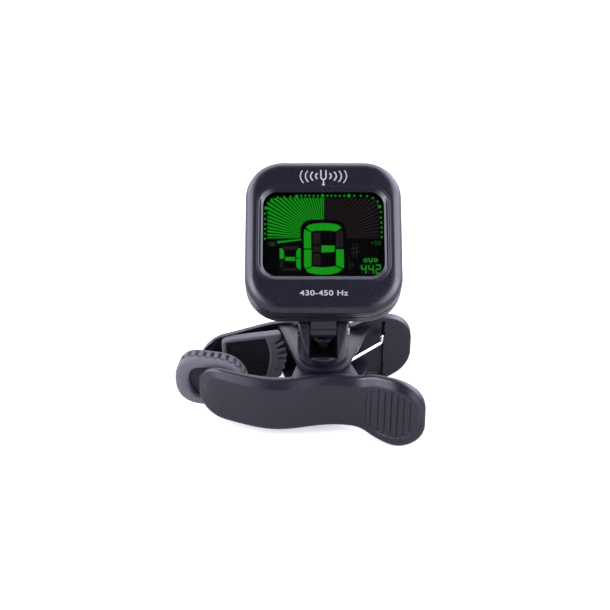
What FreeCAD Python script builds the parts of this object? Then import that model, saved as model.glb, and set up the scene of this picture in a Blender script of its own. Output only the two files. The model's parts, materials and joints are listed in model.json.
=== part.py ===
import FreeCAD, Part
import math
import os
import Sketcher
from FreeCAD import Vector, Rotation, Placement

# Clip-on tuner for stringed instruments: a display head on a tilting and turning neck, carried by
# a two-lever spring clip with ringed jaws.  Millimetres, +Z up, +X towards the finger handles,
# -Y towards the front lever.  The origin is the centre of the jaw grip.

os.makedirs("parts", exist_ok=True)
doc = FreeCAD.newDocument("clip_on_tuner")

# ------------------------------------------------------------------ driving dimensions
DIMENSIONS = {
    # clip pivot, tilt hinge above it, and the angles at rest (degrees)
    "pivot_x": 22.5, "pivot_y": -2.0, "hinge_z": 15.1, "rest_tilt": 56.0, "rest_turn": 0.0,
    # general clearance between fitted pieces
    "fit_gap": 0.02,
    # head shell; front, split and rear are distances from the tilt axle towards the display
    "head_width": 38.1, "head_tall": 39.0, "head_corner": 9.2, "head_bottom": -0.3,
    "head_front": 13.7, "head_split": 8.0, "head_rear": 3.7, "shell_wall": 1.5,
    "front_round": 2.4, "rear_round": 1.4,
    # display window, lens and rebate
    "window_width": 29.4, "window_tall": 21.7, "window_corner": 3.5,
    "window_mid": 19.4, "window_bevel": 0.7,
    "lens_width": 32.0, "lens_tall": 24.2, "lens_thick": 1.0, "lens_gap": 0.05,
    "rebate_deep": 0.7, "rebate_gap": 0.1,
    # display, backlight and connector strip
    "lcd_width": 31.6, "lcd_tall": 24.0, "lcd_thick": 1.5, "lcd_ledge": 1.8, "lcd_gap": 0.03,
    "light_thick": 0.95, "light_bottom": 9.3, "light_corner": 1.0,
    "strip_tall": 1.6, "strip_long": 28.0,
    # circuit board and what sits on it
    "board_width": 33.0, "board_tall": 32.0, "board_thick": 0.8, "board_rear": 8.5,
    "board_corner": 3.0,
    "chip_radius": 3.0, "chip_high": 0.9, "chip_x": -12.0, "chip_z": 11.0,
    "piezo_radius": 3.3, "piezo_thick": 0.45, "piezo_mid": 4.7,
    "switch_side": 4.2, "switch_thick": 1.3, "stem_radius": 1.2, "stem_long": 2.15,
    # battery and door
    "cell_radius": 10.0, "cell_thick": 3.2, "cell_mid": 20.0, "cell_front": 8.02,
    "cell_edge": 0.35,
    "door_radius": 11.2, "door_gap": 0.1, "door_thick": 1.1,
    "door_slot_long": 9.0, "door_slot_wide": 1.6, "door_slot_deep": 0.55,
    # buttons
    "button_radius": 2.0, "button_gap": 0.1, "button_proud": 0.5, "button_row": 34.1,
    "button_step": 8.5, "flange_radius": 2.6, "flange_thick": 0.6,
    # case screws and their posts
    "boss_x": 13.2, "boss_low": 4.4, "boss_high": 34.0, "boss_radius": 1.9,
    "case_screw_radius": 0.75, "case_screw_head": 1.5,
    # neck
    "tongue_half": 3.1, "knuckle_radius": 3.0, "axle_radius": 1.2, "axle_bore": 1.26,
    "yoke_radius": 6.4, "yoke_seat": 7.4, "yoke_floor": 9.9, "slot_half": 3.3, "arm_half": 5.3,
    "hinge_head_radius": 2.0, "hinge_head_thick": 1.0, "hinge_sink_x": 5.35,
    "nut_radius": 2.2, "nut_thick": 1.3, "nut_seat_x": 5.1,
    "swivel_screw_radius": 1.2, "swivel_head_radius": 2.4, "swivel_head_thick": 1.2,
    "yoke_bore": 1.28, "swivel_washer_radius": 5.9, "swivel_washer_thick": 0.36,
    # levers
    "lever_half": 7.6, "handle_half": 10.1, "handle_end": 24.8, "rear_handle_end": 22.8,
    "handle_corner": 8.0, "tip_x": -30.9, "tip_round": 6.2,
    "lever_skin": 1.5, "rim_wide": 1.1, "tray_end": 15.5,
    "rear_boss": 7.3, "rear_ear_in": 5.4, "rear_ear_out": 7.0,
    "front_boss": 5.6, "front_ear_in": 3.6, "front_ear_out": 5.2,
    "groove_start": 10.0, "groove_deep": 0.55, "groove_pitch": 3.0, "groove_wide": 2.0,
    # spindle and spring
    "spindle_radius": 2.5, "spindle_flange": 3.7, "spindle_flange_thick": 0.8,
    "spindle_bore": 1.22, "front_bore": 2.56, "rear_bore": 2.52,
    "wire_radius": 0.5, "coil_radius": 3.4, "coil_half": 3.0,
    "leg_x": 14.6, "leg_y": 9.4, "leg_y_front": 12.4, "hook_up": 2.2,
    # front jaw
    "front_pad_x": -27.85, "front_pad_y": -1.9, "front_pad_turn": -9.5,
    "front_pad_thick": 4.3, "front_pad_long": 18.0, "front_pad_tall": 14.4,
    "ball_radius": 1.7, "ball_gap": 0.05, "ball_x": 4.0, "ball_y": 0.1, "stud_radius": 0.8,
    # rear jaw
    "rear_pad_turn": 10.4, "rear_pad_x": -25.3, "rear_pad_y": 4.0,
    "rear_pad_thick": 2.0, "rear_pad_half": 7.2, "rear_pad_long": 13.6,
    "shoe_lift": 0.55, "rivet_radius": 0.8, "rivet_start": 0.13,
}


def joined(left, sign, right):
    texts = [v.text if isinstance(v, Dim) else repr(v) for v in (left, right)]
    return "(%s %s %s)" % (texts[0], sign, texts[1])


class Dim(float):
    """A number that carries its sheet expression, so sizes worked out from it stay bound."""

    def __new__(cls, value, text):
        number = float.__new__(cls, value)
        number.text = text
        return number

    def __add__(self, other):
        return Dim(float.__add__(self, other), joined(self, "+", other))

    def __radd__(self, other):
        return Dim(float.__radd__(self, other), joined(other, "+", self))

    def __sub__(self, other):
        return Dim(float.__sub__(self, other), joined(self, "-", other))

    def __rsub__(self, other):
        return Dim(float.__rsub__(self, other), joined(other, "-", self))

    def __mul__(self, other):
        return Dim(float.__mul__(self, other), joined(self, "*", other))

    def __rmul__(self, other):
        return Dim(float.__rmul__(self, other), joined(other, "*", self))

    def __truediv__(self, other):
        return Dim(float.__truediv__(self, other), joined(self, "/", other))

    def __neg__(self):
        return -1 * self


class Dimensions:
    """The sheet's values, one attribute for each alias."""


sheet = doc.addObject("Spreadsheet::Sheet", "dims")
for row, (alias, value) in enumerate(DIMENSIONS.items(), 1):
    sheet.set("A%d" % row, alias)
    sheet.set("B%d" % row, str(value))
    sheet.setAlias("B%d" % row, alias)
doc.recompute()
dims = Dimensions()
for alias in DIMENSIONS:
    setattr(dims, alias, Dim(float(sheet.get(alias)), "dims." + alias))

# ------------------------------------------------------------------ frames
PIVOT = Vector(dims.pivot_x, dims.pivot_y, 0)
HINGE = PIVOT + Vector(0, 0, dims.hinge_z)
TURN = Rotation(Vector(0, 0, 1), dims.rest_turn)
CLIP = Placement(PIVOT, Rotation())
NECK = Placement(PIVOT, TURN)
HEAD = Placement(HINGE, TURN.multiply(Rotation(Vector(1, 0, 0), -dims.rest_tilt)))

pieces = {}


def keep(obj, label, place):
    """The finished piece: its label names its file, its placement seats it in the tuner."""
    obj.Label = label
    obj.Placement = place.multiply(obj.Placement)
    pieces[label] = obj


# ------------------------------------------------------------------ sketch helpers
def line(start, end):
    return Part.LineSegment(Vector(*start, 0), Vector(*end, 0))


def arc(centre, radius, start, end):
    """Arc between two angles in degrees."""
    whole = Part.Circle(Vector(*centre, 0), Vector(0, 0, 1), radius)
    return Part.ArcOfCircle(whole, math.radians(start), math.radians(end))


def spline(points, tangent=None):
    """Curve through the points; the tangent, if given, holds at both ends."""
    curve = Part.BSplineCurve()
    points = [Vector(x, y, 0) for x, y in points]
    if tangent:
        end = Vector(*tangent, 0)
        curve.interpolate(Points=points, InitialTangent=end, FinalTangent=end)
    else:
        curve.interpolate(Points=points)
    return curve


def closed_spline(points):
    curve = Part.BSplineCurve()
    curve.interpolate(Points=[Vector(x, y, 0) for x, y in points], PeriodicFlag=True)
    return curve


def datum(sketch, kind, *refs, value):
    """A dimensional constraint, bound to the sheet when its value comes from there."""
    index = sketch.addConstraint(Sketcher.Constraint(kind, *refs, float(value)))
    if isinstance(value, Dim):
        sketch.setExpression("Constraints[%d]" % index, value.text)


def rounded_rect(sketch, width, tall, corner, mid):
    """A constrained rounded rectangle, centred on x = 0 and y = mid."""
    right, low, top = width / 2, mid - tall / 2, mid + tall / 2
    in_x, in_low, in_top = right - corner, low + corner, top - corner
    sketch.addGeometry([
        line((-in_x, low), (in_x, low)),
        line((right, in_low), (right, in_top)),
        line((in_x, top), (-in_x, top)),
        line((-right, in_top), (-right, in_low)),
        arc((in_x, in_low), corner, -90, 0),
        arc((in_x, in_top), corner, 0, 90),
        arc((-in_x, in_top), corner, 90, 180),
        arc((-in_x, in_low), corner, 180, 270),
    ], False)
    constraint = Sketcher.Constraint
    rules = []
    for side, bend in enumerate((4, 5, 6, 7)):
        rules.append(constraint("Tangent", side, 2, bend, 1))
        rules.append(constraint("Tangent", bend, 2, (side + 1) % 4, 1))
    rules += [constraint("Horizontal", 0), constraint("Vertical", 1)]
    rules += [constraint("Horizontal", 2), constraint("Vertical", 3)]
    rules += [constraint("Equal", bend, bend + 1) for bend in (4, 5, 6)]
    sketch.addConstraint(rules)
    datum(sketch, "Radius", 4, value=corner)
    datum(sketch, "DistanceX", 3, 1, 1, 1, value=width)
    datum(sketch, "DistanceY", 0, 1, 2, 1, value=tall)
    datum(sketch, "DistanceX", -1, 1, 1, 1, value=right)
    datum(sketch, "DistanceY", -1, 1, 2, 1, value=top)


def circle(sketch, radius, x=0.0, y=0.0):
    index = len(sketch.Geometry)
    sketch.addGeometry(Part.Circle(Vector(x, y, 0), Vector(0, 0, 1), radius), False)
    datum(sketch, "Radius", index, value=radius)
    for position, kind, axis in ((x, "DistanceX", -2), (y, "DistanceY", -1)):
        if abs(position) < 1e-9:
            sketch.addConstraint(Sketcher.Constraint("PointOnObject", index, 3, axis))
        else:
            datum(sketch, kind, -1, 1, index, 3, value=position)


def join_ends(sketch, count):
    """Ties each element's end to the next one's start."""
    sketch.addConstraint([
        Sketcher.Constraint("Coincident", i, 2, (i + 1) % count, 1) for i in range(count)])


def polygon(sketch, points):
    ends = points[1:] + points[:1]
    sketch.addGeometry([line(start, end) for start, end in zip(points, ends)], False)
    join_ends(sketch, len(points))


# Rotations taking a sketch's x and y onto the model's axes; "XZ" has its normal along -Y.
PLANES = {
    "XY": Rotation(),
    "XZ": Rotation(Vector(1, 0, 0), Vector(0, 0, 1), Vector(0, -1, 0), "ZXY"),
    "YZ": Rotation(Vector(0, 1, 0), Vector(0, 0, 1), Vector(1, 0, 0), "ZXY"),
}


def loose_sketch(name, plane, at=0.0):
    sketch = doc.addObject("Sketcher::SketchObject", name)
    turn = PLANES[plane]
    sketch.Placement = Placement(turn.multVec(Vector(0, 0, at)), turn)
    return sketch


# ------------------------------------------------------------------ solid helpers
def set_sizes(obj, **sizes):
    for prop, value in sizes.items():
        if isinstance(value, Dim):
            obj.setExpression(prop, value.text)
        else:
            setattr(obj, prop, value)


def extrude(name, sketch, length, both=False, back=False):
    solid = doc.addObject("Part::Extrusion", name)
    solid.Base = sketch
    solid.DirMode = "Normal"
    solid.Solid = True
    solid.Symmetric = both
    solid.Reversed = back
    set_sizes(solid, LengthFwd=length)
    return solid


def extruded_polygon(name, plane, points, length, **options):
    sketch = loose_sketch(name + "_outline", plane)
    polygon(sketch, points)
    return extrude(name, sketch, length, **options)


def cut(name, base, *tools):
    for i, tool in enumerate(tools):
        result = doc.addObject("Part::Cut", "%s_%d" % (name, i))
        result.Base, result.Tool = base, tool
        base = result
    return base


def fuse(name, *objs):
    result = doc.addObject("Part::MultiFuse", name)
    result.Shapes = list(objs)
    result.Refine = True
    return result


def common(name, first, second):
    result = doc.addObject("Part::MultiCommon", name)
    result.Shapes = [first, second]
    return result


def mirrored_down(name, obj):
    result = doc.addObject("Part::Mirroring", name)
    result.Source = obj
    result.Normal = Vector(0, 0, 1)
    result.Base = Vector(0, 0, 0)
    return result


def group(name, *objs):
    result = doc.addObject("Part::Compound", name)
    result.Links = list(objs)
    return result


ALONG = {
    "X": Rotation(Vector(0, 1, 0), 90),
    "Y": Rotation(Vector(1, 0, 0), -90),
    "Z": Rotation(),
}


def cylinder(name, radius, length, at, axis="Z"):
    solid = doc.addObject("Part::Cylinder", name)
    solid.Placement = Placement(at, ALONG[axis])
    set_sizes(solid, Radius=radius, Height=length)
    return solid


def hexagon(name, radius, thick, at):
    """Hexagonal prism along X; the radius reaches its corners."""
    solid = doc.addObject("Part::Prism", name)
    solid.Polygon = 6
    solid.Placement = Placement(at, ALONG["X"])
    set_sizes(solid, Circumradius=radius, Height=thick)
    return solid


def sphere(name, radius, at):
    solid = doc.addObject("Part::Sphere", name)
    solid.Placement = Placement(at, Rotation())
    set_sizes(solid, Radius=radius)
    return solid


def box(name, size_x, size_y, size_z, at):
    solid = doc.addObject("Part::Box", name)
    solid.Placement = Placement(at, Rotation())
    set_sizes(solid, Length=size_x, Width=size_y, Height=size_z)
    return solid


def cross(name, axis, long, wide, deep, at):
    """Screwdriver cross: two bars centred on `at`, running from it along the axis."""
    bars = []
    for letter, sizes in (("a", [long, wide]), ("b", [wide, long])):
        corner = [-size / 2 for size in sizes]
        sizes.insert("XYZ".index(axis), deep)
        corner.insert("XYZ".index(axis), 0)
        bars.append(box("%s_%s" % (name, letter), *sizes, at + Vector(*corner)))
    return fuse(name, *bars)


def edge_numbers(shape, test):
    return [i for i, edge in enumerate(shape.Edges, 1) if test(edge)]


def lies_at(edge, axis, value):
    """True if the whole edge lies in the plane axis = value."""
    bounds = edge.BoundBox
    ends = getattr(bounds, axis + "Min"), getattr(bounds, axis + "Max")
    return all(abs(end - value) < 1e-4 for end in ends)


def soften(name, base, radius, axis, value):
    """Fillets the edges of a loose solid that lie in the plane axis = value."""
    doc.recompute()
    fillet = doc.addObject("Part::Fillet", name)
    fillet.Base = base
    numbers = edge_numbers(base.Shape, lambda edge: lies_at(edge, axis, value))
    fillet.Edges = [(number, radius, radius) for number in numbers]
    return fillet


# ------------------------------------------------------------------ body helpers
def body_sketch(body, name, role, offset):
    sketch = body.newObject("Sketcher::SketchObject", name)
    plane = [o for o in body.Origin.OriginFeatures if o.Role == role][0]
    sketch.AttachmentSupport = (plane, [""])
    sketch.MapMode = "FlatFace"
    sketch.setExpression(".AttachmentOffset.Base.z", offset.text)
    return sketch


def padded_body(name, tag, offset, thick, draw, *sizes, plane="XZ_Plane"):
    """Body padded from what draw(sketch, *sizes) outlines at the offset along the normal."""
    body = doc.addObject("PartDesign::Body", name)
    sketch = body_sketch(body, tag + "_outline", plane, offset)
    draw(sketch, *sizes)
    pad = body.newObject("PartDesign::Pad", tag + "_pad")
    pad.Profile = sketch
    set_sizes(pad, Length=thick)
    sketch.Visibility = False
    doc.recompute()
    return body


def pocket(body, name, offset, length, draw, *sizes, back=False):
    sketch = body_sketch(body, name + "_outline", "XZ_Plane", offset)
    draw(sketch, *sizes)
    before = body.Shape.Volume
    feature = body.newObject("PartDesign::Pocket", name)
    feature.Profile = sketch
    set_sizes(feature, Length=length)
    feature.Reversed = back
    doc.recompute()
    if not body.Shape.Volume < before - 1e-6:
        raise RuntimeError("%s cuts nothing" % name)


def dress(body, kind, name, size, test):
    """Fillet or Chamfer on the body's edges that pass the test."""
    before = body.Shape.Volume
    edges = ["Edge%d" % number for number in edge_numbers(body.Shape, test)]
    tip = body.Tip
    feature = body.newObject("PartDesign::" + kind, name)
    feature.Base = (tip, edges)
    set_sizes(feature, **{"Radius" if kind == "Fillet" else "Size": size})
    doc.recompute()
    if not edges or abs(body.Shape.Volume - before) < 1e-6:
        raise RuntimeError("%s changes nothing" % name)


# ================================================================== HEAD
# Upright frame of the head: origin on the tilt axle, display facing -Y.  Sketch offsets and the
# distances below count from the axle towards the display.
HEAD_MID = dims.head_bottom + dims.head_tall / 2
LENS_REAR = dims.head_front - dims.shell_wall + dims.rebate_deep - dims.lens_thick
LCD_FRONT = LENS_REAR - dims.lens_gap
LIGHT_FRONT = LCD_FRONT - dims.lcd_thick - dims.lcd_gap
LCD_BOTTOM = dims.window_mid - dims.lcd_tall / 2
LCD_TOP = dims.window_mid + dims.lcd_tall / 2
REAR_INNER_Y = -dims.head_rear - dims.shell_wall   # inner face of the rear wall
OVERCUT = 0.5   # how far a hole through a wall runs past it
POST_BITE = 0.2   # how far a screw post runs into its wall
BOSSES = [(side * dims.boss_x, z) for side in (-1, 1) for z in (dims.boss_low, dims.boss_high)]
BUTTONS = ((-1, "mode_button"), (0, "power_button"), (1, "pitch_button"))


def at_bosses(name, radius, length, y):
    """A cylinder along Y at each of the four screw places, starting at y."""
    return [cylinder("%s_%d" % (name, i), radius, length, Vector(x, y, z), "Y")
            for i, (x, z) in enumerate(BOSSES)]


def shell_half(name, tag, start, depth, outside, soft, back):
    """Hollow half of the shell, with its outside edges rounded and its split side open."""
    wall = dims.shell_wall
    body = padded_body(name, tag, start, depth, rounded_rect,
                       dims.head_width, dims.head_tall, dims.head_corner, HEAD_MID)
    dress(body, "Fillet", tag + "_soft_edge", soft, lambda edge: lies_at(edge, "Y", -outside))
    pocket(body, tag + "_hollow", dims.head_split, depth - wall, rounded_rect,
           dims.head_width - 2 * wall, dims.head_tall - 2 * wall, dims.head_corner - wall,
           HEAD_MID, back=back)
    return body


def is_window_edge(edge):
    """True for the window's edges on the front face."""
    bounds = edge.BoundBox
    reach_x, reach_z = dims.window_width / 2 + 0.1, dims.window_tall / 2 + 0.1
    return (lies_at(edge, "Y", -dims.head_front)
            and bounds.XMax < reach_x and bounds.XMin > -reach_x
            and bounds.ZMax < dims.window_mid + reach_z
            and bounds.ZMin > dims.window_mid - reach_z)


def front_case():
    """Front shell: bevelled window, rebate for the lens behind it, four screw posts."""
    body = shell_half("front_case_body", "fc", dims.head_split, dims.head_front - dims.head_split,
                      dims.head_front, dims.front_round, True)
    pocket(body, "fc_window", dims.head_front, dims.shell_wall + OVERCUT, rounded_rect,
           dims.window_width, dims.window_tall, dims.window_corner, dims.window_mid)
    pocket(body, "fc_rebate", dims.head_front - dims.shell_wall, dims.rebate_deep, rounded_rect,
           dims.lens_width + 2 * dims.rebate_gap, dims.lens_tall + 2 * dims.rebate_gap,
           dims.window_corner, dims.window_mid, back=True)
    dress(body, "Chamfer", "fc_window_bevel", dims.window_bevel, is_window_edge)
    post_front = dims.head_front - dims.shell_wall + POST_BITE
    posts = at_bosses("fc_post", dims.boss_radius, post_front - dims.head_split, -post_front)
    hole_deep = 3.2
    holes = at_bosses("fc_post_hole", dims.case_screw_radius + dims.fit_gap, hole_deep + 0.2,
                      -dims.head_split - hole_deep)
    solid = fuse("fc_with_posts", body, *posts)
    keep(cut("front_case", solid, fuse("fc_holes", *holes)), "front_case", HEAD)


def draw_button_holes(sketch):
    for i, _ in BUTTONS:
        circle(sketch, dims.button_radius + dims.button_gap, i * dims.button_step,
               dims.button_row)


def rear_case():
    """Rear shell: battery opening, button holes, screw posts, and the tongue with its knuckle."""
    rear, split = dims.head_rear, dims.head_split
    body = shell_half("rear_case_body", "rc", rear, split - rear, rear, dims.rear_round, False)
    through = dims.shell_wall + OVERCUT
    pocket(body, "rc_battery_opening", rear, through, circle,
           dims.door_radius + dims.door_gap, 0, dims.cell_mid, back=True)
    pocket(body, "rc_button_holes", rear, through, draw_button_holes, back=True)
    posts = at_bosses("rc_post", dims.boss_radius, split - rear - dims.shell_wall + POST_BITE,
                      -split)
    holes = at_bosses("rc_post_hole", dims.case_screw_radius + 0.15, 6.0, -split - 0.5)
    sinks = at_bosses("rc_post_sink", dims.case_screw_head + 0.1, 2.0, -rear - 1.05)
    # y, z round the tongue, which widens from the knuckle to its root on the shell
    root_y = -rear - 0.6
    tongue = extruded_polygon(
        "tongue", "YZ", [(root_y, 0.4), (-1.6, -2.54), (2.6, 1.2), (-1.4, 6.6), (root_y, 8.6)],
        2 * dims.tongue_half, both=True)
    knuckle = cylinder("knuckle", dims.knuckle_radius, 2 * dims.tongue_half,
                       Vector(-dims.tongue_half, 0, 0), "X")
    bore = cylinder("knuckle_bore", dims.axle_bore, 10.0, Vector(-5, 0, 0), "X")
    solid = fuse("rc_solid", body, tongue, knuckle, *posts)
    keep(cut("rear_case", solid, bore, fuse("rc_holes", *holes, *sinks)), "rear_case", HEAD)


def window_lens():
    """Clear plate with rounded corners."""
    keep(padded_body("window_lens_body", "lens", LENS_REAR, dims.lens_thick, rounded_rect,
                     dims.lens_width, dims.lens_tall, dims.window_corner - 0.1,
                     dims.window_mid), "window_lens", HEAD)


def lcd_panel():
    """Two glass sheets, the rear one longer at the bottom."""
    half, left = dims.lcd_thick / 2, -dims.lcd_width / 2
    front = box("lcd_front_glass", dims.lcd_width, half, dims.lcd_tall - dims.lcd_ledge,
                Vector(left, -LCD_FRONT, LCD_BOTTOM + dims.lcd_ledge))
    rear = box("lcd_rear_glass", dims.lcd_width, half, dims.lcd_tall,
               Vector(left, -LCD_FRONT + half, LCD_BOTTOM))
    keep(fuse("lcd_sheets", front, rear), "lcd_panel", HEAD)


def backlight_guide():
    """Diffuser slab with rounded corners."""
    keep(padded_body("backlight_body", "light", LIGHT_FRONT - dims.light_thick, dims.light_thick,
                     rounded_rect, dims.lcd_width, LCD_TOP - dims.light_bottom,
                     dims.light_corner, (LCD_TOP + dims.light_bottom) / 2),
         "backlight_guide", HEAD)


def lcd_connector():
    """Conductive rubber strip between the rear glass and the board, below the backlight."""
    keep(box("lcd_strip", dims.strip_long, dims.light_thick, dims.strip_tall,
             Vector(-dims.strip_long / 2, -LIGHT_FRONT, LCD_BOTTOM + 0.1)),
         "lcd_connector", HEAD)


def circuit_board():
    """Board with notches that clear the screw posts."""
    body = padded_body("circuit_board_body", "pcb", dims.board_rear, dims.board_thick,
                       rounded_rect, dims.board_width, dims.board_tall, dims.board_corner,
                       HEAD_MID)
    notches = at_bosses("pcb_notch", dims.boss_radius + 0.2, 4.0, -dims.board_rear - 2.5)
    keep(cut("pcb_notched", body, fuse("pcb_notches", *notches)), "circuit_board", HEAD)


def tact_switches():
    """Three switches on the board's rear face, in line with the buttons."""
    side, y, z = dims.switch_side, -dims.board_rear, dims.button_row
    switches = []
    for i, _ in BUTTONS:
        x = i * dims.button_step
        can = box("switch_can_%d" % (i + 1), side, dims.switch_thick, side,
                  Vector(x - side / 2, y, z - side / 2))
        stem = cylinder("switch_stem_%d" % (i + 1), dims.stem_radius, dims.stem_long,
                        Vector(x, y, z), "Y")
        switches.append(fuse("switch_%d" % (i + 1), can, stem))
    keep(group("switches", *switches), "tact_switches", HEAD)


def tuner_chip():
    """Resin dome over the processor: the cap of a sphere, on the board's rear face."""
    rise, bounds_side = dims.chip_high, 8
    radius = (dims.chip_radius ** 2 + rise ** 2) / (2 * rise)
    x, y, z = dims.chip_x, -dims.board_rear, dims.chip_z
    dome = sphere("chip_dome", radius, Vector(x, y + rise - radius, z))
    bounds = box("chip_bounds", bounds_side, 4, bounds_side,
                 Vector(x - bounds_side / 2, y, z - bounds_side / 2))
    keep(common("chip_blob", dome, bounds), "tuner_chip", HEAD)


def piezo_disc():
    """Brass disc with its ceramic, inside the rear case over the tongue root."""
    brass_thick = 0.2
    brass = cylinder("piezo_brass", dims.piezo_radius, brass_thick,
                     Vector(0, REAR_INNER_Y - brass_thick, dims.piezo_mid), "Y")
    ceramic = cylinder("piezo_ceramic", dims.piezo_radius - 1.2, dims.piezo_thick,
                       Vector(0, REAR_INNER_Y - dims.piezo_thick, dims.piezo_mid), "Y")
    keep(fuse("piezo", brass, ceramic), "piezo_disc", HEAD)


def coin_cell():
    """Button battery with both rims rounded."""
    body = padded_body("coin_cell_body", "cell", dims.cell_front - dims.cell_thick,
                       dims.cell_thick, circle, dims.cell_radius, 0, dims.cell_mid)
    front_y = -dims.cell_front
    dress(body, "Fillet", "cell_rim", dims.cell_edge, lambda edge:
          lies_at(edge, "Y", front_y) or lies_at(edge, "Y", front_y + dims.cell_thick))
    keep(body, "coin_cell", HEAD)


def battery_contacts():
    """A flat strip with a bump in front of the cell, and an angled strip at its +X side."""
    y, z = -dims.board_rear, dims.cell_mid
    strip_long, strip_tall = 11, 4
    strip = box("neg_strip", strip_long, 0.25, strip_tall,
                Vector(-strip_long / 2, y, z - strip_tall / 2))
    bump = cylinder("neg_bump", 1.4, 0.42, Vector(0, y, z), "Y")
    keep(fuse("neg_contact", strip, bump), "battery_contact_neg", HEAD)
    angle_thick, angle_tall = 0.3, 6
    corner = Vector(dims.cell_radius + 0.12, y, z - angle_tall / 2)
    wall = box("pos_wall", angle_thick, 2.9, angle_tall, corner)
    foot = box("pos_foot", 3.0, angle_thick, angle_tall, corner)
    keep(fuse("pos_contact", wall, foot), "battery_contact_pos", HEAD)


def battery_door():
    """Round cover with a coin slot."""
    body = padded_body("battery_door_body", "door", dims.head_rear, dims.door_thick,
                       circle, dims.door_radius, 0, dims.cell_mid)
    pocket(body, "door_slot", dims.head_rear, dims.door_slot_deep, rounded_rect,
           dims.door_slot_long, dims.door_slot_wide, dims.door_slot_wide / 2 - 0.05,
           dims.cell_mid, back=True)
    keep(body, "battery_door", HEAD)


def button(i, label):
    """Round cap with a softened top and an inner flange that keeps it in."""
    x, z = i * dims.button_step, dims.button_row
    cap_inside, cap_soft, flange_gap = 0.3, 0.3, 0.1
    start = REAR_INNER_Y - cap_inside
    length = dims.button_proud + dims.shell_wall + cap_inside
    cap = cylinder(label + "_cap", dims.button_radius, length, Vector(x, start, z), "Y")
    flange = cylinder(label + "_flange", dims.flange_radius, dims.flange_thick,
                      Vector(x, REAR_INNER_Y - flange_gap - dims.flange_thick, z), "Y")
    soft = soften(label + "_soft", cap, cap_soft, "Y", start + length)
    keep(fuse(label + "_whole", soft, flange), label, HEAD)


def case_screws():
    """Four small flat-headed screws with cross recesses, driven from the rear."""
    rear_y = -dims.head_rear
    heads = at_bosses("cs_head", dims.case_screw_head, 0.9, rear_y - 1.04)
    shanks = at_bosses("cs_shank", dims.case_screw_radius, 7.0, rear_y - 7.0)
    screws = []
    for i, (x, z) in enumerate(BOSSES):
        recess = cross("cs_cross_%d" % i, "Y", 1.8, 0.34, 0.5, Vector(x, rear_y - 0.5, z))
        screws.append(cut("cs_%d" % i, fuse("cs_blank_%d" % i, heads[i], shanks[i]), recess))
    keep(group("case_screw_set", *screws), "case_screws", HEAD)


# ================================================================== NECK
# Frame at the clip pivot, tilt axle along X.
def on_axle(x):
    return Vector(x, 0, dims.hinge_z)


def yoke_side_points():
    """y, z of the yoke seen along X: arms tapering to meet the knuckle circle tangentially."""
    radius, half, floor, axle = (dims.knuckle_radius, dims.arm_half, dims.yoke_floor,
                                 dims.hinge_z)
    drop = axle - floor
    angle = math.atan2(-drop, half) + math.acos(radius / math.hypot(half, drop))
    right = [
        (8, dims.yoke_seat - 1), (8, floor - 0.4), (half + 0.6, floor - 0.2),
        (half, floor + 0.4),
        (radius * math.cos(angle), axle + radius * math.sin(angle)),
        (radius * 0.5, axle + radius * 0.6),
    ]
    return [(-right[0][0], right[0][1])] + right + [(-y, z) for y, z in right[:0:-1]]


def swivel_yoke():
    """Turned base with two arms, bored for the hinge screw, its nut and the swivel screw."""
    seat, floor = dims.yoke_seat, dims.yoke_floor
    drum = cylinder("yoke_drum", dims.yoke_radius, dims.hinge_z + 4 - seat, Vector(0, 0, seat))
    side = extruded_polygon("yoke_side", "YZ", yoke_side_points(), 20.0, both=True)
    crown = cylinder("yoke_crown", dims.knuckle_radius, 20.0, on_axle(-10), "X")
    slot = box("yoke_slot", 2 * dims.slot_half, 20, 20, Vector(-dims.slot_half, -10, floor))
    axle_bore = cylinder("yoke_axle_bore", dims.axle_bore, 20.0, on_axle(-10), "X")
    sink_long = 4.0
    head_sink = cylinder("yoke_head_sink", dims.hinge_head_radius + 0.1, sink_long,
                         on_axle(-dims.hinge_sink_x - sink_long), "X")
    nut_pocket = hexagon("yoke_nut_pocket", dims.nut_radius + 0.06, 4,
                         on_axle(dims.nut_seat_x))
    screw_bore = cylinder("yoke_screw_bore", dims.yoke_bore, 6.0, Vector(0, 0, seat - 1))
    blank = common("yoke_blank", drum, fuse("yoke_form", side, crown))
    keep(cut("yoke", blank, slot, axle_bore, head_sink, nut_pocket, screw_bore),
         "swivel_yoke", NECK)


def hinge_screw():
    """Flat head with a cross recess at -X, plain shank through both arms and the tongue."""
    head_x = -dims.hinge_sink_x - dims.fit_gap - dims.hinge_head_thick
    head = cylinder("hs_head", dims.hinge_head_radius, dims.hinge_head_thick,
                    on_axle(head_x), "X")
    shank = cylinder("hs_shank", dims.axle_radius, 11.6, on_axle(-5.4), "X")
    recess = cross("hs_cross", "X", 2.4, 0.45, 0.6, on_axle(head_x))
    keep(cut("hs", fuse("hs_blank", head, shank), recess), "hinge_screw", NECK)


def hinge_nut():
    """Hexagonal nut in the +X arm."""
    blank = hexagon("nut_hex", dims.nut_radius, dims.nut_thick,
                    on_axle(dims.nut_seat_x + dims.fit_gap))
    bore = cylinder("nut_bore", dims.axle_radius + 0.01, 4, on_axle(4), "X")
    keep(cut("nut", blank, bore), "hinge_nut", NECK)


def hinge_washers():
    """One thin washer on each side of the tongue."""
    thick = dims.slot_half - dims.tongue_half - 2 * dims.fit_gap
    washers = []
    for i, gap_start in enumerate((-dims.slot_half, dims.tongue_half)):
        x = gap_start + dims.fit_gap
        disc = cylinder("hw_disc_%d" % i, dims.knuckle_radius - 0.3, thick, on_axle(x), "X")
        hole = cylinder("hw_hole_%d" % i, dims.axle_bore, 2, on_axle(x - 1), "X")
        washers.append(cut("hw_%d" % i, disc, hole))
    keep(group("hinge_washer_pair", *washers), "hinge_washers", NECK)


def draw_swivel_washer(sketch):
    circle(sketch, dims.swivel_washer_radius)
    circle(sketch, dims.yoke_bore)


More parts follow.
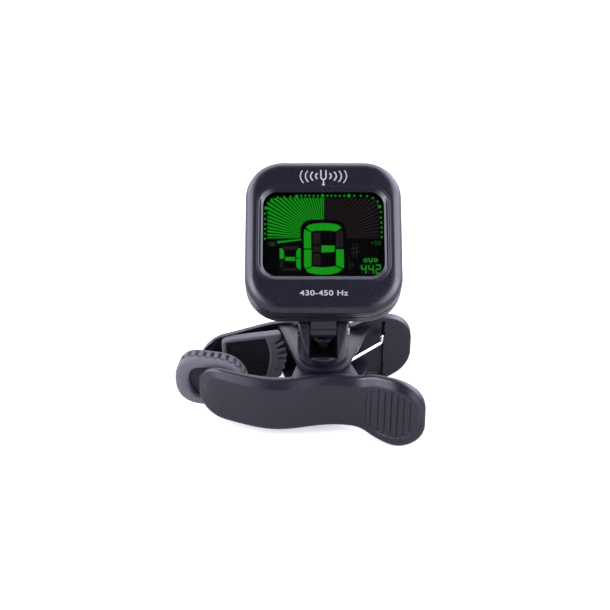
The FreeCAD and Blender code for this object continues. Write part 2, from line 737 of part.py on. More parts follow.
def swivel_washer():
    """Thin friction disc between the rear lever's upper ear and the yoke."""
    keep(padded_body("swivel_washer_body", "sw", dims.rear_ear_out + dims.fit_gap,
                     dims.swivel_washer_thick, draw_swivel_washer, plane="XY_Plane"),
         "swivel_washer", NECK)


def swivel_screw():
    """Soft-edged head with a cross recess on the yoke floor, shank down into the spindle."""
    floor = dims.yoke_floor
    seat = floor + dims.fit_gap
    head = cylinder("ss_head", dims.swivel_head_radius, dims.swivel_head_thick,
                    Vector(0, 0, seat))
    soft = soften("ss_head_soft", head, 0.5, "Z", seat + dims.swivel_head_thick)
    shank = cylinder("ss_shank", dims.swivel_screw_radius, floor + 0.3, Vector(0, 0, -0.2))
    recess = cross("ss_cross", "Z", 2.9, 0.5, 1.0, Vector(0, 0, floor + 0.5))
    keep(cut("ss", fuse("ss_blank", soft, shank), recess), "swivel_screw", CLIP)


# ================================================================== CLIP
# Frame at the clip pivot, spindle along Z.
FRONT, REAR = -1, 1   # the sign of y on which a lever lies

# x, and the distance of the lever's outer face from the clip's middle plane
OUTER = {
    FRONT: [
        (-30.9, 5.8), (-27.5, 7.9), (-24.5, 9.4), (-20, 11.2), (-15.1, 12.7), (-8.5, 13.0),
        (-2.5, 11.9), (2.5, 11.4), (6.5, 11.7), (11.3, 13.2), (16.2, 15.8), (19.9, 17.0),
        (24.8, 17.8)],
    REAR: [
        (-30.9, 4.6), (-27.5, 6.0), (-24.5, 7.2), (-22.1, 8.2), (-17.7, 10.1), (-13.4, 11.8),
        (-6.5, 12.7), (0.5, 11.8), (6.5, 11.2), (13.8, 11.8), (18.3, 12.8), (22.8, 13.8)],
}
# x, and how deep a lever's side wall is there
WALL_DEPTH = [
    (-31, 1.4), (-28, 1.8), (-24, 2.4), (-15, 2.9), (-8, 2.8), (2.5, 2.4), (10, 2.5), (25, 2.7)]
# x and distance from the middle plane where each ear's web meets its lever
REAR_WEB = [(-11.5, 11.2), (-8, 11.5), (-4, 11.4), (3, 10.4), (8, 10.2), (12.5, 10.7)]
FRONT_WEB = [(-9.2, 11.9), (-4, 11.1), (3, 10.3), (8, 11.0), (11, 12.0)]


def segment_at(points, x):
    """The two neighbouring points that x lies between."""
    return next(pair for pair in zip(points, points[1:]) if x <= pair[1][0])


def value_at(points, x):
    (x_start, start), (x_end, end) = segment_at(points, x)
    return start + (end - start) * (x - x_start) / (x_end - x_start)


def shifted(points, distance):
    return [(x, y + distance) for x, y in points]


INNER = {side: [(x, y - value_at(WALL_DEPTH, x)) for x, y in points]
         for side, points in OUTER.items()}
FLOOR = {side: shifted(points, -dims.lever_skin) for side, points in OUTER.items()}

# Jaw frames, within the clip's: x along the jaw, y across it, z up.  The front one stands at the
# ring's centre, the rear one at the middle of the ring's end nearest the lever's tip.
FRONT_JAW_TURN = Rotation(Vector(0, 0, 1), dims.front_pad_turn)
FRONT_JAW = Placement(Vector(dims.front_pad_x, dims.front_pad_y, 0), FRONT_JAW_TURN)
REAR_JAW = Placement(Vector(dims.rear_pad_x, dims.rear_pad_y, 0),
                     Rotation(Vector(0, 0, 1), dims.rear_pad_turn))
BALL_IN_JAW = Vector(dims.ball_x, dims.ball_y, 0)
BALL = Placement(FRONT_JAW.multVec(BALL_IN_JAW), FRONT_JAW_TURN)

# x, z and inner end y of each rivet, in the rear jaw's frame
RIVETS = [(3.6, 3.6, 2.9), (9.4, -3.6, 4.3)]
RIVET_HOLE = dims.rivet_radius + dims.fit_gap


def band(name, outside, inside, side):
    """Upright solid between two curves of the clip seen from above."""
    outside = [(x, side * y) for x, y in outside]
    inside = [(x, side * y) for x, y in inside]
    sketch = loose_sketch(name + "_profile", "XY")
    sketch.addGeometry([
        spline(outside), line(outside[-1], inside[-1]),
        spline(inside[::-1]), line(inside[0], outside[0])], False)
    join_ends(sketch, 4)
    return extrude(name, sketch, 24.0, both=True)


def face(name, end, inset=0.0, stop=None):
    """The lever seen square on: round jaw end, straight flanks, swelling to a round handle end.

    With a stop, the outline ends square at that x instead of running on into the handle.
    """
    flank, bulge = dims.lever_half - inset, dims.handle_half - inset
    tip_radius, end_radius = dims.tip_round - inset, dims.handle_corner - inset
    tip = dims.tip_x + inset
    tip_mid, tip_arc_z = tip + tip_radius, flank - tip_radius
    jaw_end = [
        arc((tip_mid, tip_arc_z), tip_radius, 90, 180),
        line((tip, tip_arc_z), (tip, -tip_arc_z)),
        arc((tip_mid, -tip_arc_z), tip_radius, 180, 270),
    ]
    if stop is not None:
        outline = [line((stop, -flank), (stop, flank)), line((stop, flank), (tip_mid, flank))]
        outline += jaw_end + [line((tip_mid, -flank), (stop, -flank))]
    else:
        handle_mid, handle_x = end - dims.handle_corner, end - inset
        handle_arc_z = bulge - end_radius
        start = handle_mid - 9.6
        swell = [(start, flank), (start + 2.5, flank + 0.5), (start + 4.5, flank + 1.5),
                 (start + 7.0, bulge - 0.3), (handle_mid, bulge)]
        outline = [
            line((tip_mid, -flank), (start, -flank)),
            spline([(x, -z) for x, z in swell], (1, 0)),
            arc((handle_mid, -handle_arc_z), end_radius, -90, 0),
            line((handle_x, -handle_arc_z), (handle_x, handle_arc_z)),
            arc((handle_mid, handle_arc_z), end_radius, 0, 90),
            spline(swell, (1, 0)),
            line((start, flank), (tip_mid, flank)),
        ] + jaw_end
    sketch = loose_sketch(name + "_outline", "XZ")
    sketch.addGeometry(outline, False)
    return extrude(name, sketch, 50.0, both=True)


def ears(name, radius, z_in, z_out, points, side):
    """A pair of ears: round boss on the spindle axis and a web back to the lever."""
    disc = cylinder(name + "_boss", radius, z_out - z_in, Vector(0, 0, z_in))
    tangents = []
    for (x, y), sign in ((points[0], 1), (points[-1], -1)):
        angle = math.atan2(y, x) + sign * math.acos(radius / math.hypot(x, y))
        tangents.append((radius * math.cos(angle), radius * math.sin(angle)))
    sketch = loose_sketch(name + "_web_outline", "XY", z_in)
    polygon(sketch, [(x, side * y) for x, y in tangents[:1] + points + tangents[1:]])
    web = extrude(name + "_web", sketch, z_out - z_in)
    upper = fuse(name + "_up", disc, web)
    return upper, mirrored_down(name + "_down", upper)


def lever_shell(tag, side, end):
    """Curved lever, hollowed on its inner side to leave a rim, solid at the handle."""
    blank = common(tag + "_blank", band(tag + "_side", OUTER[side], INNER[side], side),
                   face(tag + "_face", end))
    tray = common(tag + "_tray",
                  band(tag + "_tray_side", FLOOR[side], shifted(INNER[side], -6), side),
                  face(tag + "_tray_face", end, dims.rim_wide, stop=dims.tray_end))
    return cut(tag + "_shell", blank, tray)


def spindle_hole(name, radius):
    return cylinder(name, radius, 40, Vector(0, 0, -20))


def rear_lever():
    """Rear lever, its rim cut away along the jaw and its skin drilled for the rivets."""
    shell = lever_shell("rl", REAR, dims.rear_handle_end)
    pair = ears("rl_ear", dims.rear_boss, dims.rear_ear_in, dims.rear_ear_out, REAR_WEB, REAR)
    eared = fuse("rl_eared", shell, *pair)
    notch = common("rl_notch",
                   band("rl_notch_side", FLOOR[REAR], shifted(INNER[REAR], -8), REAR),
                   box("rl_notch_box", 20.0, 30, 24, Vector(-27.4, -2, -12)))
    holes = []
    for i, (x, z, end_y) in enumerate(RIVETS):
        hole = cylinder("rl_rivet_hole_%d" % i, RIVET_HOLE, 2.05 + end_y, Vector(x, -2, z), "Y")
        hole.Placement = REAR_JAW.multiply(hole.Placement)
        holes.append(hole)
    keep(cut("rear_lever", eared, notch, spindle_hole("rl_bore", dims.rear_bore),
             fuse("rl_rivet_holes", *holes)), "rear_lever", CLIP)


def grip_groove(i):
    """One groove across the front handle, sunk square to its outer face."""
    depth = 4.0   # reaches well outside the handle
    x = dims.groove_start + i * dims.groove_pitch
    middle = x + dims.groove_wide / 2
    # the groove shortens where the handle's end rounds off
    corner = dims.handle_corner
    past = max(middle - (dims.handle_end - corner), 0)
    rounded = math.sqrt(max(corner ** 2 - past ** 2, 1))
    half = 0.74 * min(dims.handle_half, dims.handle_half - corner + rounded)
    (x_start, start), (x_end, end) = segment_at(OUTER[FRONT], middle)
    slope = math.degrees(math.atan2(end - start, x_end - x_start))
    groove = box("fl_groove_%d" % i, dims.groove_wide, depth, 2 * half, Vector(0, -depth, 0))
    y = -value_at(OUTER[FRONT], middle) + dims.groove_deep
    seat = Placement(Vector(x, y, -half), Rotation(Vector(0, 0, 1), -slope))
    groove.Placement = seat.multiply(groove.Placement)
    return groove


def front_lever():
    """Front lever, with finger grooves on its handle and a hole for the ball stud."""
    shell = lever_shell("fl", FRONT, dims.handle_end)
    pair = ears("fl_ear", dims.front_boss, dims.front_ear_in, dims.front_ear_out, FRONT_WEB,
                FRONT)
    eared = fuse("fl_eared", shell, *pair)
    grooves = [grip_groove(i) for i in range(5)]
    hole_long = 6.5
    stud_hole = cylinder("fl_stud_hole", dims.stud_radius + dims.fit_gap, hole_long,
                         Vector(0, -hole_long, 0), "Y")
    stud_hole.Placement = BALL.multiply(stud_hole.Placement)
    keep(cut("front_lever", eared, spindle_hole("fl_bore", dims.front_bore),
             fuse("fl_grip", *grooves), stud_hole), "front_lever", CLIP)


def clip_pin():
    """Tubular spindle with a flange under the lower ears."""
    ear, thick, extra = dims.rear_ear_out, dims.spindle_flange_thick, 0.1
    tube = cylinder("spindle_tube", dims.spindle_radius, 2 * ear + extra,
                    Vector(0, 0, -ear - extra))
    foot = cylinder("spindle_foot", dims.spindle_flange, thick,
                    Vector(0, 0, -ear - dims.fit_gap - thick))
    hole = cylinder("spindle_hole", dims.spindle_bore, 30, Vector(0, 0, -10))
    keep(cut("spindle", fuse("spindle_blank", tube, foot), hole), "clip_pin", CLIP)


def leg_point(x, y, z):
    """Where a straight leg to (x, y) leaves the coil, on the side away from it."""
    radius = dims.coil_radius
    angle = math.atan2(y, x) + math.asin(radius / math.hypot(x, y))
    return Vector(radius * math.sin(angle), -radius * math.cos(angle), z)


def spring_coil(start, end):
    """Wire swept along a helix from one leg's point up to the other's."""
    half = dims.coil_half
    start_angle = math.degrees(math.atan2(start.y, start.x))
    turns = 5 - (start_angle + math.degrees(math.atan2(-end.y, end.x))) / 360.0
    helix = Part.makeHelix(2 * half / turns, 2 * half, dims.coil_radius)
    helix.Placement = Placement(Vector(0, 0, -half), Rotation(Vector(0, 0, 1), start_angle))
    spine = Part.Wire(helix.Edges)
    edge = spine.Edges[0]
    first = edge.FirstParameter
    section = Part.makeCircle(dims.wire_radius, edge.valueAt(first), edge.tangentAt(first))
    coil = Part.Solid(spine.makePipeShell([Part.Wire(section)], True, True).Shells[0])
    if coil.Volume < 0:
        coil.reverse()
    return coil


def rod(start, end):
    along = end - start
    return Part.makeCylinder(dims.wire_radius, along.Length, start, along)


def torsion_spring():
    """One round wire: coil on the spindle, a straight leg to each handle, hooked ends."""
    wire, half, hook = dims.wire_radius, dims.coil_half, dims.hook_up
    x, rear_y, front_y = dims.leg_x, dims.leg_y, dims.leg_y_front
    rear_root = leg_point(x, rear_y, half)
    flipped = leg_point(x, front_y, -half)
    front_root = Vector(flipped.x, -flipped.y, -half)
    coil = spring_coil(front_root, rear_root)
    # root, bend and hook end of each leg
    legs = [
        (rear_root, Vector(x, rear_y, half), Vector(x, rear_y, half + hook)),
        (front_root, Vector(x, -front_y, -half), Vector(x, -front_y, -half - hook)),
    ]
    # The ball that joins a leg to the coil needs a size at which the union is one valid solid.
    for joint in (1.12, 1.1, 1.14, 1.08, 1.16, 1.2):
        spring = coil
        for root, bend, end in legs:
            for part in (rod(root, bend), Part.makeSphere(wire * joint, root),
                         Part.makeSphere(wire * 1.02, bend), rod(bend, end)):
                spring = spring.fuse(part)
        if len(spring.Solids) == 1 and spring.isValid():
            break
    if len(spring.Solids) != 1:
        raise RuntimeError("the spring is in %d pieces" % len(spring.Solids))
    feature = doc.addObject("Part::Feature", "torsion_spring")
    feature.Shape = spring.Solids[0]
    keep(feature, "torsion_spring", CLIP)


# ================================================================== JAWS
# x, z round the front ring, for a ring 18.7 long and 15.2 tall; stretched to the pad's size
RING_LONG, RING_TALL = 18.7, 15.2
RING_OUTSIDE = [
    (-9.35, 0.0), (-8.9, 3.6), (-7.2, 6.3), (-4.6, 7.5), (-1.0, 7.6), (3.0, 7.4), (6.2, 6.2),
    (8.5, 3.6), (9.35, 0.6), (8.8, -3.0), (6.9, -5.9), (3.6, -7.4), (-1.0, -7.6), (-4.8, -7.4),
    (-7.4, -6.0), (-8.95, -3.3)]
RING_INSIDE = [
    (-5.9, 0.0), (-5.5, 2.6), (-4.2, 4.6), (-2.0, 5.3), (1.0, 5.3), (4.0, 4.7), (6.2, 3.2),
    (7.0, 0.6), (6.7, -2.2), (5.2, -4.4), (2.6, -5.5), (-1.0, -5.6), (-3.8, -5.1), (-5.4, -3.0)]


def ring_curve(points, scale=1.0):
    scale_x = float(dims.front_pad_long / RING_LONG) * scale
    scale_z = float(dims.front_pad_tall / RING_TALL) * scale
    return closed_spline([(x * scale_x, z * scale_z) for x, z in points])


def ring_solid(name, curve, thick):
    sketch = loose_sketch(name + "_outline", "XZ")
    sketch.addGeometry(curve, False)
    return extrude(name, sketch, thick, both=True)


def front_pad():
    """Ring of the front jaw, with seven ribs along its top."""
    thick = dims.front_pad_thick
    curve = ring_curve(RING_OUTSIDE)
    outer = ring_solid("fp_outer", curve, thick)
    hollow = ring_solid("fp_hollow", ring_curve(RING_INSIDE), thick + 2)
    first, span, steps = curve.FirstParameter, curve.LastParameter - curve.FirstParameter, 2000
    samples = [curve.value(first + span * k / steps) for k in range(steps)]
    rib_start, rib_pitch, rib_wide, rib_inset = -6.3, 2.05, 1.15, 0.2
    rib_tall, rib_sunk = 1.5, 0.55
    ribs = []
    for i in range(7):
        x = rib_start + i * rib_pitch
        top = max(point.y for point in samples if abs(point.x - x) < 0.03)
        corner = Vector(x - rib_wide / 2, -thick / 2 + rib_inset, top - rib_sunk)
        ribs.append(box("fp_rib_%d" % i, rib_wide, thick - 2 * rib_inset, rib_tall, corner))
    keep(cut("front_pad", fuse("fp_solid", outer, *ribs), hollow), "front_pad",
         CLIP.multiply(FRONT_JAW))


def front_shoe():
    """Carrier plate inside the ring, with a ball socket that opens towards the lever."""
    plate = ring_solid("fs_plate", ring_curve(RING_INSIDE, 0.985), dims.front_pad_thick - 1.4)
    plate.Placement = Placement(Vector(0, dims.shoe_lift, 0), Rotation())
    wall = cylinder("fs_socket_wall", dims.ball_radius + 1.0, 2.6,
                    Vector(dims.ball_x, -dims.front_pad_thick / 2 + 0.1, 0), "Y")
    socket = sphere("fs_socket", dims.ball_radius + dims.ball_gap, BALL_IN_JAW)
    mouth = doc.addObject("Part::Cone", "fs_socket_mouth")
    set_sizes(mouth, Radius1=1.25, Radius2=2.3, Height=3.4)
    mouth.Placement = Placement(Vector(dims.ball_x, -0.6, 0), Rotation(Vector(1, 0, 0), 90))
    keep(cut("front_shoe", fuse("fs_solid", plate, wall), socket, mouth), "front_shoe",
         CLIP.multiply(FRONT_JAW))


def front_shoe_stud():
    """Ball in the shoe's socket, on a shank through the lever skin."""
    shank_long = 6.3
    ball = sphere("stud_ball", dims.ball_radius, Vector(0, 0, 0))
    shank = cylinder("stud_neck", dims.stud_radius, shank_long, Vector(0, -shank_long, 0), "Y")
    stud = fuse("stud", ball, shank)
    stud.Placement = BALL
    keep(stud, "front_shoe_stud", CLIP)


def rear_rim_points():
    """x, z round the rear ring: rounded end, and seven teeth on a bowed line at the other."""
    half, long, teeth = dims.rear_pad_half, dims.rear_pad_long, 7
    points = [(1.2, -half), (0.25, -half + 0.3), (0, -half + 1.2), (0, half - 1.2),
              (0.25, half - 0.3), (1.2, half), (long - 0.6, half)]
    margin, bow = 0.75, 2.6
    # x and z offsets of one tooth's corners from its middle
    tooth = [(-1.0, 0.85), (0.15, 0.62), (0.35, 0), (0.15, -0.62), (-1.0, -0.85)]
    for i in reversed(range(teeth)):
        z = -half + margin + i * (2 * half - 2 * margin) / (teeth - 1)
        x = long + bow * (1 - (z / (half + 1.5)) ** 2)
        points += [(x + step_x, z + step_z) for step_x, step_z in tooth]
    return points + [(long - 0.6, -half)]


def rear_window_points(gap=0.0):
    """x, z round the opening in the rear ring, drawn in by the gap."""
    start, long = 0.95 + gap, dims.rear_pad_long
    side = dims.rear_pad_half - 0.95 - gap
    corner, shoulder, crest = long - 2.6 - gap, long - 1.7 - 2 * gap, long - 1.4 - 2 * gap
    return [(start, -side), (corner, -side), (shoulder, -3), (crest, 0), (shoulder, 3),
            (corner, side), (start, side)]


def trimmed_to_lever(name, tag, obj):
    """Seats a rear jaw piece and cuts away what would reach into the lever's skin."""
    beyond = band(tag + "_beyond_lever", shifted(FLOOR[REAR], 9), shifted(FLOOR[REAR], -0.03),
                  REAR)
    obj.Placement = REAR_JAW
    return cut(name, obj, beyond)


def rear_pad():
    """Toothed ring of the rear jaw."""
    rim = extruded_polygon("rp_rim", "XZ", rear_rim_points(), dims.rear_pad_thick, back=True)
    window = extruded_polygon("rp_window", "XZ", rear_window_points(), 8.0, both=True)
    keep(trimmed_to_lever("rear_pad_cut", "rp", cut("rp_ring", rim, window)), "rear_pad", CLIP)


def rear_shoe():
    """Carrier framed by the ring, running back to the lever floor, with two rivet holes."""
    plate = extruded_polygon("rs_plate", "XZ", rear_window_points(0.05), 6.0, back=True)
    plate.Placement = Placement(Vector(0, dims.shoe_lift, 0), Rotation())
    holes = [cylinder("rs_hole_%d" % i, RIVET_HOLE, 8, Vector(x, -1, z), "Y")
             for i, (x, z, _) in enumerate(RIVETS)]
    solid = cut("rs_solid", plate, fuse("rs_holes", *holes))
    keep(trimmed_to_lever("rear_shoe_cut", "rs", solid), "rear_shoe", CLIP)


def rear_shoe_rivets():
    """Two flat-headed rivets through the shoe into the lever."""
    rivets = []
    for i, (x, z, end_y) in enumerate(RIVETS):
        at = Vector(x, dims.rivet_start, z)
        head = cylinder("rv_head_%d" % i, 1.5, 0.4, at, "Y")
        shank = cylinder("rv_shank_%d" % i, dims.rivet_radius, end_y - dims.rivet_start, at, "Y")
        rivets.append(fuse("rv_%d" % i, head, shank))
    keep(group("rivet_pair", *rivets), "rear_shoe_rivets", CLIP.multiply(REAR_JAW))


# ------------------------------------------------------------------ build, check and write
for build in (front_case, rear_case, window_lens, lcd_panel, backlight_guide, lcd_connector,
              circuit_board, tact_switches, tuner_chip, piezo_disc, coin_cell,
              battery_contacts, battery_door):
    build()
for i, label in BUTTONS:
    button(i, label)
for build in (case_screws, swivel_yoke, hinge_screw, hinge_nut, hinge_washers, swivel_washer,
              swivel_screw, rear_lever, front_lever, clip_pin, torsion_spring, front_pad,
              front_shoe, front_shoe_stud, rear_pad, rear_shoe, rear_shoe_rivets):
    build()

doc.recompute()
bad = [o.Name for o in doc.Objects if "Invalid" in o.State or "Error" in o.State]
if bad:
    raise RuntimeError("failed objects: %s" % bad)
for label, obj in pieces.items():
    shape = obj.Shape
    if shape.isNull() or not shape.isValid() or shape.Volume < 1e-3:
        raise RuntimeError("%s has no valid shape" % label)
for label, obj in pieces.items():
    obj.Shape.exportStep("parts/%s.step" % label)
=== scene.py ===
# A clip-on tuner: a head with a lit display, on a swivel yoke, above a spring clip whose two
# levers carry ring-shaped jaws. The world is in metres with Z up and the display faces -Y.
# Parts are drawn in millimetres in one of two frames:
#   clip frame: origin on the clip's pivot, axes as the world's; jaws at -x, finger grips at
#               +x, front lever at -y, rear lever at +y.
#   head frame: origin on the head's tilt hinge, x across, y along the battery door's lift,
#               z up the head.
import json
import math

import bmesh
import bpy
from mathutils import Matrix, Vector


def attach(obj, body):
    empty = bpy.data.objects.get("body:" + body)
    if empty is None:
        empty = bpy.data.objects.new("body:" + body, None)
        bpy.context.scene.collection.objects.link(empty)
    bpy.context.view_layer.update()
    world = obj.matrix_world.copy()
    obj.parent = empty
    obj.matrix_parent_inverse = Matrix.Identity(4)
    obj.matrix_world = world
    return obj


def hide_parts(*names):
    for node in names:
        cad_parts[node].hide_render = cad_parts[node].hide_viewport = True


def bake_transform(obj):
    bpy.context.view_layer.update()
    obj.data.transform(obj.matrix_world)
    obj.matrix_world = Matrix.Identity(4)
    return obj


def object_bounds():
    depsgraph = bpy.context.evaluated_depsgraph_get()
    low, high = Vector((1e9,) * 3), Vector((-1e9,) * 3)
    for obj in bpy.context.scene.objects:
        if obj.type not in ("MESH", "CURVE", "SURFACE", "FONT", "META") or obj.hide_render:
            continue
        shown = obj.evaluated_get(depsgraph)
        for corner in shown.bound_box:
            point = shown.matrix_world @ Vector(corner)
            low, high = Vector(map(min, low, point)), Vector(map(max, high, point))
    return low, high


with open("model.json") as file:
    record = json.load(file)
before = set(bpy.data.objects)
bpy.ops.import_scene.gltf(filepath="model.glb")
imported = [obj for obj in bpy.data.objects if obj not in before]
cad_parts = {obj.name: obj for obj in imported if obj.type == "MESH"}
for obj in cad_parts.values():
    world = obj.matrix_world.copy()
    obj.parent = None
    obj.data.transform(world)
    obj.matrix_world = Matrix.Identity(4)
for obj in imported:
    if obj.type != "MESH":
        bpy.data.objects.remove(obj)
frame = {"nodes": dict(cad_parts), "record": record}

MM = 0.001
cad_box = [list(map(float, corner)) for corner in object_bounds()]
joints = {joint["name"]: joint for joint in frame["record"]["behaviour"]["joints"]}
PIVOT = Vector(joints["clip_open"]["pos_m"])
HINGE = Vector(joints["head_tilt"]["pos_m"])
HEAD_X = Vector((1, 0, 0))
HEAD_Y = Vector(joints["battery_door_lift"]["axis"]).normalized()
HEAD_Z = HEAD_X.cross(HEAD_Y)
scene = bpy.context.scene


def clip(p):
    """Clip frame to world."""
    return PIVOT + Vector(p) * MM


def head(p):
    """Head frame to world."""
    return HINGE + (HEAD_X * p[0] + HEAD_Y * p[1] + HEAD_Z * p[2]) * MM


# ------------------------------------------------------------------ shader graphs
class Graph:
    """A node tree, with short calls for the nodes used here."""

    def __init__(self, tree):
        self.tree = tree

    def node(self, kind, **settings):
        node = self.tree.nodes.new(kind)
        for key, setting in settings.items():
            setattr(node, key, setting)
        return node

    def link(self, source, target):
        self.tree.links.new(source, target)

    def feed(self, target, source):
        """Link a socket, or set a plain value."""
        if isinstance(source, bpy.types.NodeSocket):
            self.link(source, target)
        else:
            target.default_value = source

    def math(self, operation, first, second=None):
        node = self.node("ShaderNodeMath", operation=operation)
        self.link(first, node.inputs[0])
        if second is not None:
            self.feed(node.inputs[1], second)
        return node.outputs[0]

    def value(self, fac, low, high, start=0.3, end=0.7, interpolation="LINEAR"):
        """Map start..end of fac to low..high."""
        node = self.node("ShaderNodeMapRange", interpolation_type=interpolation)
        node.inputs["From Min"].default_value = start
        node.inputs["From Max"].default_value = end
        node.inputs["To Min"].default_value = low
        node.inputs["To Max"].default_value = high
        self.link(fac, node.inputs["Value"])
        return node.outputs["Result"]


class Material(Graph):
    """A Principled material whose textures run in object coordinates."""

    def __init__(self, name):
        self.material = bpy.data.materials.new(name)
        self.material.use_nodes = True
        super().__init__(self.material.node_tree)
        self.shader = self.tree.nodes["Principled BSDF"]
        self.coords = self.node("ShaderNodeTexCoord").outputs["Object"]

    def noise(self, scale, detail=4.0, rough=0.55, stretch=None):
        node = self.node("ShaderNodeTexNoise")
        node.inputs["Scale"].default_value = scale
        node.inputs["Detail"].default_value = detail
        node.inputs["Roughness"].default_value = rough
        coords = self.coords
        if stretch:
            mapping = self.node("ShaderNodeMapping")
            mapping.inputs["Scale"].default_value = stretch
            self.link(coords, mapping.inputs["Vector"])
            coords = mapping.outputs["Vector"]
        self.link(coords, node.inputs["Vector"])
        return node.outputs["Fac"]

    def ramp(self, fac, low, high, end=0.7):
        """Colour low at 0.3 of fac, running to colour high at end."""
        node = self.node("ShaderNodeValToRGB")
        for stop, place, colour in zip(node.color_ramp.elements, (0.3, end), (low, high)):
            stop.position = place
            stop.color = (*colour, 1)
        self.link(fac, node.inputs["Fac"])
        return node.outputs["Color"]

    def mix(self, fac, under, over):
        """Lay the plain colour over on the socket under."""
        node = self.node("ShaderNodeMix", data_type="RGBA")
        self.link(fac, node.inputs["Factor"])
        # colour sockets share their names with float ones, so they are picked by type
        under_in, over_in = [s for s in node.inputs if s.type == "RGBA"]
        self.link(under, under_in)
        over_in.default_value = (*over, 1)
        return [s for s in node.outputs if s.type == "RGBA"][0]

    def bump(self, *layers):
        """Chain bumps; each layer is (height, strength, distance in metres)."""
        last = None
        for height, strength, distance in layers:
            node = self.node("ShaderNodeBump")
            node.inputs["Strength"].default_value = strength
            node.inputs["Distance"].default_value = distance
            self.link(height, node.inputs["Height"])
            if last:
                self.link(last, node.inputs["Normal"])
            last = node.outputs["Normal"]
        self.link(last, self.shader.inputs["Normal"])

    def edge(self, start, end):
        """Mask of the convex edges."""
        pointiness = self.node("ShaderNodeNewGeometry").outputs["Pointiness"]
        return self.value(pointiness, low=0.0, high=1.0, start=start, end=end)

    def done(self, **inputs):
        for key, source in inputs.items():
            self.feed(self.shader.inputs[key.replace("_", " ")], source)
        return self.material


def linear(hexa):
    """sRGB hex to linear."""
    parts = [int(hexa[i:i + 2], 16) / 255 for i in (0, 2, 4)]
    return tuple(x / 12.92 if x <= 0.04045 else ((x + 0.055) / 1.055) ** 2.4 for x in parts)


def tint(colour, factor, lift=0.0):
    return tuple(min(x * factor + lift, 1) for x in colour)


# ------------------------------------------------------------------ materials
def plastic_base(name, hexa, grain, wear):
    """Mottled, speckled plastic with worn edges: the material, its colour and its grain."""
    mat = Material(name)
    base = linear(hexa)
    broad = mat.noise(scale=160.0, detail=3.0)
    fine = mat.noise(scale=5200.0, detail=2.0, rough=0.6)
    middle = mat.noise(scale=1500.0, detail=4.0, rough=0.6)
    colour = mat.ramp(broad, low=tint(base, 0.86), high=tint(base, 1.14))
    speck = mat.value(fine, low=0.0, high=0.10, start=0.5, end=0.8)
    colour = mat.mix(speck, colour, tint(base, 2.2, 0.01))
    scratch = mat.value(middle, low=0.3, high=1.0, start=0.35, end=0.65)
    worn = mat.math("MULTIPLY", mat.edge(start=0.51, end=0.60), scratch)
    colour = mat.mix(mat.math("MULTIPLY", worn, wear), colour, tint(base, 2.6, 0.03))
    mat.bump((broad, 0.05, 0.0004), (middle, 0.03 * grain, 0.00008),
             (fine, 0.08 * grain, 0.00004))
    return mat, colour, middle


def plastic(name, hexa, rough, grain, wear, specular=0.5):
    mat, colour, middle = plastic_base(name, hexa, grain, wear)
    roughness = mat.value(middle, low=rough - 0.05, high=rough + 0.08)
    return mat.done(Base_Color=colour, Roughness=roughness, Specular_IOR_Level=specular,
                    Coat_Roughness=0.25)


def neck_plastic():
    """Smooth plastic with painted shade inside the fork's slot, where it is dark and dull."""
    mat, colour, _ = plastic_base("moulded_neck_plastic_painted_slot_shade", "1c1b25", grain=0.0, wear=0.0)
    mat.done(Specular_IOR_Level=0.55, Coat_Roughness=0.25)
    place = mat.node("ShaderNodeSeparateXYZ")
    mat.link(mat.node("ShaderNodeTexCoord").outputs["Object"], place.inputs[0])

    def near(axis, centre, start, end):
        """1 within end of the centre, 0 beyond start (metres)."""
        offset = mat.math("ABSOLUTE", mat.math("SUBTRACT", place.outputs[axis], centre))
        return mat.value(offset, low=0.0, high=1.0, start=start, end=end)

    in_x = near("X", PIVOT.x, start=0.0038, end=0.0034)
    in_y = near("Y", PIVOT.y, start=0.0060, end=0.0055)
    in_z = mat.value(place.outputs["Z"], low=0.0, high=1.0,
                     start=PIVOT.z + 0.0090, end=PIVOT.z + 0.0096)
    # painted shade: slot is 1 inside the fork's slot, where the base colour goes near black, the
    # gloss drops and the roughness rises
    slot = mat.math("MULTIPLY", in_x, mat.math("MULTIPLY", in_y, in_z))
    return mat.done(
        Base_Color=mat.mix(slot, colour, (0.0025, 0.0022, 0.0022)),
        Specular_IOR_Level=mat.value(slot, low=0.6, high=0.02, start=0.0, end=1.0),
        Roughness=mat.value(slot, low=0.29, high=0.9, start=0.0, end=1.0))


def rubber(name, hexa, rough=0.72):
    mat = Material(name)
    base = linear(hexa)
    broad = mat.noise(scale=220.0)
    fine = mat.noise(scale=4200.0, detail=3.0, rough=0.65)
    colour = mat.ramp(broad, low=tint(base, 0.88), high=tint(base, 1.1))
    dust = mat.value(fine, low=0.0, high=0.14, start=0.5, end=0.75)
    colour = mat.mix(dust, colour, tint(base, 1.5, 0.04))
    worn = mat.math("MULTIPLY", mat.edge(start=0.50, end=0.58), 0.22)
    colour = mat.mix(worn, colour, tint(base, 1.7, 0.03))
    mat.bump((broad, 0.10, 0.0003), (fine, 0.22, 0.00006))
    roughness = mat.value(fine, low=rough - 0.08, high=rough + 0.1)
    return mat.done(Base_Color=colour, Roughness=roughness, Specular_IOR_Level=0.35,
                    Sheen_Weight=0.12, Sheen_Roughness=0.5)


def metal(name, hexa, rough, stretch, tarnish=0.3):
    """Brushed metal; stretch draws the fine noise out into brush lines."""
    mat = Material(name)
    base = linear(hexa)
    broad = mat.noise(scale=300.0)
    fine = mat.noise(scale=3500.0, detail=3.0, rough=0.6, stretch=stretch)
    colour = mat.ramp(broad, low=tint(base, 1 - tarnish * 0.5), high=base, end=0.65)
    colour = mat.mix(mat.edge(start=0.50, end=0.58), colour, tint(base, 1.25))
    mat.bump((fine, 0.18, 0.00004))
    roughness = mat.value(fine, low=rough - 0.06, high=rough + 0.14)
    return mat.done(Base_Color=colour, Metallic=1.0, Roughness=roughness)


